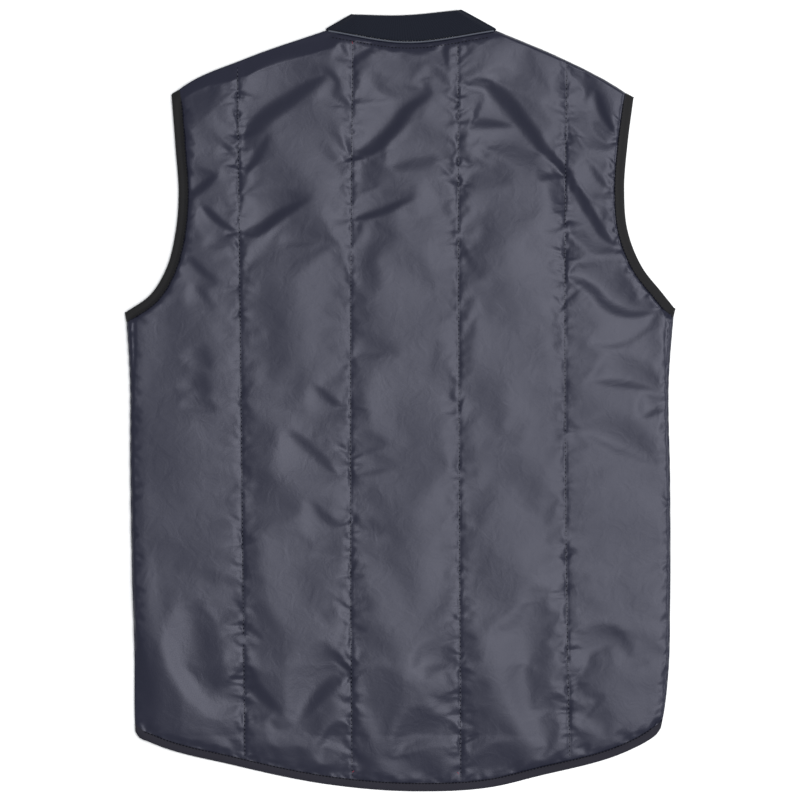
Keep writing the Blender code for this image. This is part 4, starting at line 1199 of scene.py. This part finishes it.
def sew(bm, path, stitch_row, sizes, rng):
    """A row of stitches along a line on the back, each covering a share of the pitch."""
    pitch = stitch_row.pitch or sizes.stitch_pitch / MM
    total = lengths_along(path)[-1]
    starts = np.arange(0.5 * pitch, total - 0.3 * pitch, pitch)
    places, ahead = points_at(path, starts), points_at(path, starts + 0.4 * pitch)
    heights = back_height(places, sizes) + stitch_row.lift
    thick = 0.55 * stitch_row.bulk * sizes.thread
    stitch = bmesh.new()
    bmesh.ops.create_uvsphere(stitch, u_segments=6, v_segments=4, radius=1.0)
    mesh = bpy.data.meshes.new("stitch")
    for place, onward, height in zip(places, ahead, heights):
        way = onward - place
        turn = Matrix.Rotation(math.atan2(way[1], way[0]) + rng.uniform(-0.1, 0.1), 4, "Z")
        half = 0.5 * stitch_row.share * pitch * rng.uniform(0.85, 1.1) * MM
        spot = Matrix.Translation((place[0] * MM, place[1] * MM, height * MM))
        put = spot @ turn @ Matrix.Diagonal((half, thick, thick, 1.0))
        stitch.transform(put)
        stitch.to_mesh(mesh)
        bm.from_mesh(mesh)
        stitch.transform(put.inverted())
    stitch.free()
    bpy.data.meshes.remove(mesh)


class VEST_OT_back(bpy.types.Operator):
    """Make the quilted back with its creases and puckers"""

    bl_idname = "vest.back"
    bl_label = "Back"

    def execute(self, context):
        scene = context.scene
        plan = back_plan()
        flat = plan.reshape(-1, 2)
        height = back_height(flat, scene.vest_sizes)
        points = np.concatenate([flat, height[:, None]], axis=1).reshape(*plan.shape[:2], 3) * MM
        points = draped(points, held_points(plan), back_slack(flat).reshape(plan.shape[:2]))
        points = finer(points, FINE_COLUMNS, FINE_ROWS)
        draw_in_sewing(points, scene.vest_sizes)
        nylon = shell_material(scene.vest_colours)
        piece = new_piece("back", grid_mesh("back", points), nylon, ("back_panel",))
        return {"FINISHED"}


class VEST_OT_fronts(bpy.types.Operator):
    """Make the two fronts, which lie face down under the back"""

    bl_idname = "vest.fronts"
    bl_label = "Fronts"

    def execute(self, context):
        scene = context.scene
        for side, word in ((LEFT, "left"), (RIGHT, "right")):
            plan = front_plan(side)
            flat = plan.reshape(-1, 2)
            height = front_height(flat, side, scene.vest_sizes)
            points = np.concatenate([flat, height[:, None]], axis=1).reshape(*plan.shape[:2], 3) * MM
            if side == LEFT:
                points = points[::-1]
            name = f"front_{word}_shell"
            piece = new_piece(
                name, grid_mesh(name, points), shell_material(scene.vest_colours), (f"front_{word}",)
            )
        return {"FINISHED"}


class VEST_OT_collar(bpy.types.Operator):
    """Make the rib-knit collar band and the piping in its seam"""

    bl_idname = "vest.collar"
    bl_label = "Collar"

    def execute(self, context):
        scene = context.scene
        sizes, colours = scene.vest_sizes, scene.vest_colours
        points = collar_points(sizes)
        mesh = grid_mesh("collar", points * MM)
        close_ends(mesh, len(COLLAR_SECTION))
        collar = new_piece("collar", mesh, rib_material(colours), ("collar_rib",))
        seam = neck_seam(150)[2:-2]
        middle = np.concatenate([seam, (BACK_INSIDE + PIPING_RISE - settled(seam))[:, None]], axis=1)
        # Painted highlight: light grey-blue in place of the nylon's navy
        cloth = trim_material("Piping with painted highlight", colours.piping, 0.6, 0.3)
        tube_piece("piping", middle, PIPING_RADIUS, cloth, ("neck_piping",))
        return {"FINISHED"}


class VEST_OT_tapes(bpy.types.Operator):
    """Make the binding tapes of the armholes and the hem"""

    bl_idname = "vest.tapes"
    bl_label = "Binding tapes"

    def execute(self, context):
        scene = context.scene
        sizes = scene.vest_sizes
        colours = scene.vest_colours
        material = tape_material("Black tape", colours.tape)
        for side, word in ((LEFT, "left"), (RIGHT, "right")):
            points = armhole_tape_points(side, sizes)
            name = f"armhole_tape_{word}"
            piece = tape_piece(name, points, material, f"armhole_binding_{word}")
        points = hem_tape_points(sizes)
        # Painted light: the hem tape is a lighter copy of the black tape
        material = tape_material("Black tape with painted light", colours.hem_tape)
        piece = tape_piece("hem_tape", points, material, "hem_binding")
        return {"FINISHED"}


class VEST_OT_stitches(bpy.types.Operator):
    """Sew the quilting lines, the tapes and the neck seam"""

    bl_idname = "vest.stitches"
    bl_label = "Stitches"

    def execute(self, context):
        scene = context.scene
        sizes, colours = scene.vest_sizes, scene.vest_colours
        rng = np.random.default_rng(sizes.pucker_seed + 2)
        navy = trim_material("Navy thread", colours.thread, 0.5, 0.4)
        quilting, holes = bmesh.new(), bmesh.new()
        for line in QUILT_LINES:
            y = np.arange(line.hem_y + 9, line.top_y - 3, 1.0)
            path = np.stack([quilt_x(line, y), y], axis=1)
            sew(quilting, path, QUILTING, sizes, rng)
            sew(holes, path + (0.0, 0.5 * sizes.stitch_pitch / MM), NEEDLE_HOLE_SHADE, sizes, rng)
        bmesh_piece("quilting_thread", quilting, navy)
        # The dark spots at the needle holes are painted shade
        bmesh_piece("needle_hole_shade", holes, trim_material("Painted needle hole shade", THREAD_AND_HOLE_SHADE, 0.9, 0.0))
        edging = bmesh.new()
        for side in (LEFT, RIGHT):
            edge = edge_line(ARMHOLE_EDGE, side)
            inward = side * left_normals(edge)
            sew(edging, (edge + ARMHOLE_STITCH_INSET * inward)[4:-4], TAPE_STITCH, sizes, rng)
        hem = hem_line()
        sew(edging, (hem + HEM_STITCH_INSET * left_normals(hem))[4:-4], TAPE_STITCH, sizes, rng)
        # The tape thread is black thread, darkened below the tape's black as painted shade in the seam at the
        # tape's inner edge
        bmesh_piece("tape_thread", edging, trim_material("Black thread with painted seam shade", THREAD_AND_HOLE_SHADE, 0.9, 0.1))
        neck = bmesh.new()
        seam = neck_seam()
        sew(neck, (seam - NECK_STITCH_INSET * left_normals(seam))[6:-6], NECK_STITCH, sizes, rng)
        # The neck stitches are near-black rather than navy: stitches, with painted shade of the fold under the
        # neck seam
        bmesh_piece("neck_thread", neck, trim_material("Neck thread with painted fold shade", THREAD_AND_HOLE_SHADE, 0.8, 0.15))
        ends = bmesh.new()
        for place, turn in RED_ENDS:
            end = (place[0] + RED_END * math.cos(turn), place[1] + RED_END * math.sin(turn))
            sew(ends, np.array([place, end]), RED_STITCH, sizes, rng)
        red = trim_material("Red thread", colours.red_thread, 0.6, 0.3)
        bmesh_piece("tie_off_thread", ends, red)
        return {"FINISHED"}


class VEST_OT_closure(bpy.types.Operator):
    """Make the placket and the press studs of the front opening"""

    bl_idname = "vest.closure"
    bl_label = "Front closure"

    def execute(self, context):
        scene = context.scene
        colours = scene.vest_colours
        low = FRONT_HEM_UP + PLACKET_END_CLEAR
        high = edge_points(SHOULDER_EDGE, LEFT)[-1][1] - FRONT_NECK_DROP - PLACKET_END_CLEAR
        across = np.linspace(PLACKET_HALF_WIDTH, -PLACKET_HALF_WIDTH, 13)
        x, y = np.meshgrid(across, np.linspace(low, high, 161), indexing="ij")
        swell = rolling_noise(np.stack([x.ravel(), y.ravel()], axis=1), 5, 60).reshape(x.shape)
        mesh = grid_mesh("placket", np.stack([x, y, PLACKET_UP + 0.12 * swell], axis=2) * MM)
        placket = new_piece("placket", mesh, shell_material(colours), ("front_placket",))
        lacquer = trim_material("Black lacquer", colours.stud, 0.25, 0.5, 300.0)
        for k, up in enumerate(STUD_UPS):
            bm = bmesh.new()
            radius = scene.vest_sizes.stud
            bmesh.ops.create_cone(
                bm, cap_ends=True, segments=40, radius1=0.82 * radius, radius2=radius, depth=STUD_HEIGHT * MM
            )
            cap = min(bm.faces, key=lambda face: face.calc_center_median().z)
            bmesh.ops.inset_region(bm, faces=[cap], thickness=0.22 * radius, depth=-0.1 * MM)
            rim = [edge for edge in bm.edges if len({round(v.co.z, 6) for v in edge.verts}) == 1]
            bmesh.ops.bevel(
                bm, geom=rim, offset=0.16 * MM, segments=2, profile=0.5, affect="EDGES", material=-1
            )
            place = Vector((LEFT * STUD_FROM_OPENING, up, STUD_RISE)) * MM
            bmesh.ops.translate(bm, vec=place, verts=bm.verts)
            bmesh_piece(f"press_stud_cap_{k + 1}", bm, lacquer, (f"press_stud_{k + 1}",))
        return {"FINISHED"}


class VEST_OT_stage(bpy.types.Operator):
    """Make the floor, the lights and the camera"""

    bl_idname = "vest.stage"
    bl_label = "Stage"

    def execute(self, context):
        scene = context.scene
        bm = bmesh.new()
        bmesh.ops.create_grid(bm, x_segments=2, y_segments=2, size=4.0)
        bmesh.ops.translate(bm, vec=(0, 0, FLOOR_UP), verts=bm.verts)
        mesh = bpy.data.meshes.new("floor")
        bm.to_mesh(mesh)
        bm.free()
        floor = bpy.data.objects.new("floor", mesh)
        scene.collection.objects.link(floor)
        material, tree, shader = new_material("Pale floor", 0.9, 0.1)
        place = add_node(tree, "ShaderNodeTexCoord").outputs["Object"]
        noise = add_node(tree, "ShaderNodeTexNoise", {"Vector": place, "Scale": 3.0}).outputs["Fac"]
        tone = scene.vest_colours.floor
        mixed = two_tone(tree, noise, *shades(tone, 0.99, 1.0))
        tree.links.new(mixed, shader.inputs["Base Color"])
        mesh.materials.append(material)
        for light in LIGHTS:
            self.add_light(scene, light)
        world = bpy.data.worlds.new("studio")
        world.use_nodes = True
        world.node_tree.nodes["Background"].inputs["Color"].default_value = (0.95, 0.97, 1.0, 1.0)
        world.node_tree.nodes["Background"].inputs["Strength"].default_value = 0.75
        scene.world = world
        scene.view_settings.view_transform = "Standard"
        self.add_camera(scene)
        return {"FINISHED"}

    def add_light(self, scene, light):
        data = bpy.data.lights.new(light.name, "AREA")
        data.shape = "RECTANGLE"
        data.size, data.size_y = light.width, light.height
        data.energy = light.power
        lamp = bpy.data.objects.new(light.name, data)
        lamp.location = light.place
        lamp.rotation_euler = (-Vector(light.place)).to_track_quat("-Z", "Y").to_euler()
        lamp.visible_camera = False
        scene.collection.objects.link(lamp)

    def add_camera(self, scene):
        data = bpy.data.cameras.new("camera")
        data.sensor_width = 36.0
        data.lens = data.sensor_width * (CAMERA_PLACE[2] - FRAMED_HEIGHT) / scene.vest_sizes.frame_width
        camera = bpy.data.objects.new("camera", data)
        camera.location = CAMERA_PLACE
        scene.collection.objects.link(camera)
        scene.camera = camera


class VEST_PT_panel(bpy.types.Panel):
    """The vest's pieces, sizes and colours"""

    bl_idname = "VEST_PT_panel"
    bl_label = "Quilted vest"
    bl_space_type = "VIEW_3D"
    bl_region_type = "UI"
    bl_category = "Vest"

    def draw(self, context):
        for operator in OPERATORS:
            self.layout.operator(operator.bl_idname)
        for group in (context.scene.vest_sizes, context.scene.vest_colours):
            for key in group.__annotations__:
                self.layout.prop(group, key)


OPERATORS = (
    VEST_OT_back, VEST_OT_fronts, VEST_OT_collar, VEST_OT_tapes, VEST_OT_stitches, VEST_OT_closure,
    VEST_OT_stage,
)
CLASSES = (VestSizes, VestColours, *OPERATORS, VEST_PT_panel)


def register():
    for each in CLASSES:
        bpy.utils.register_class(each)
    bpy.types.Scene.vest_sizes = PointerProperty(type=VestSizes)
    bpy.types.Scene.vest_colours = PointerProperty(type=VestColours)


def unregister():
    del bpy.types.Scene.vest_colours
    del bpy.types.Scene.vest_sizes
    for each in reversed(CLASSES):
        bpy.utils.unregister_class(each)


def main():
    register()
    bpy.ops.vest.back()
    bpy.ops.vest.fronts()
    bpy.ops.vest.collar()
    bpy.ops.vest.tapes()
    bpy.ops.vest.stitches()
    bpy.ops.vest.closure()
    bpy.ops.vest.stage()


if __name__ == "__main__":
    main()
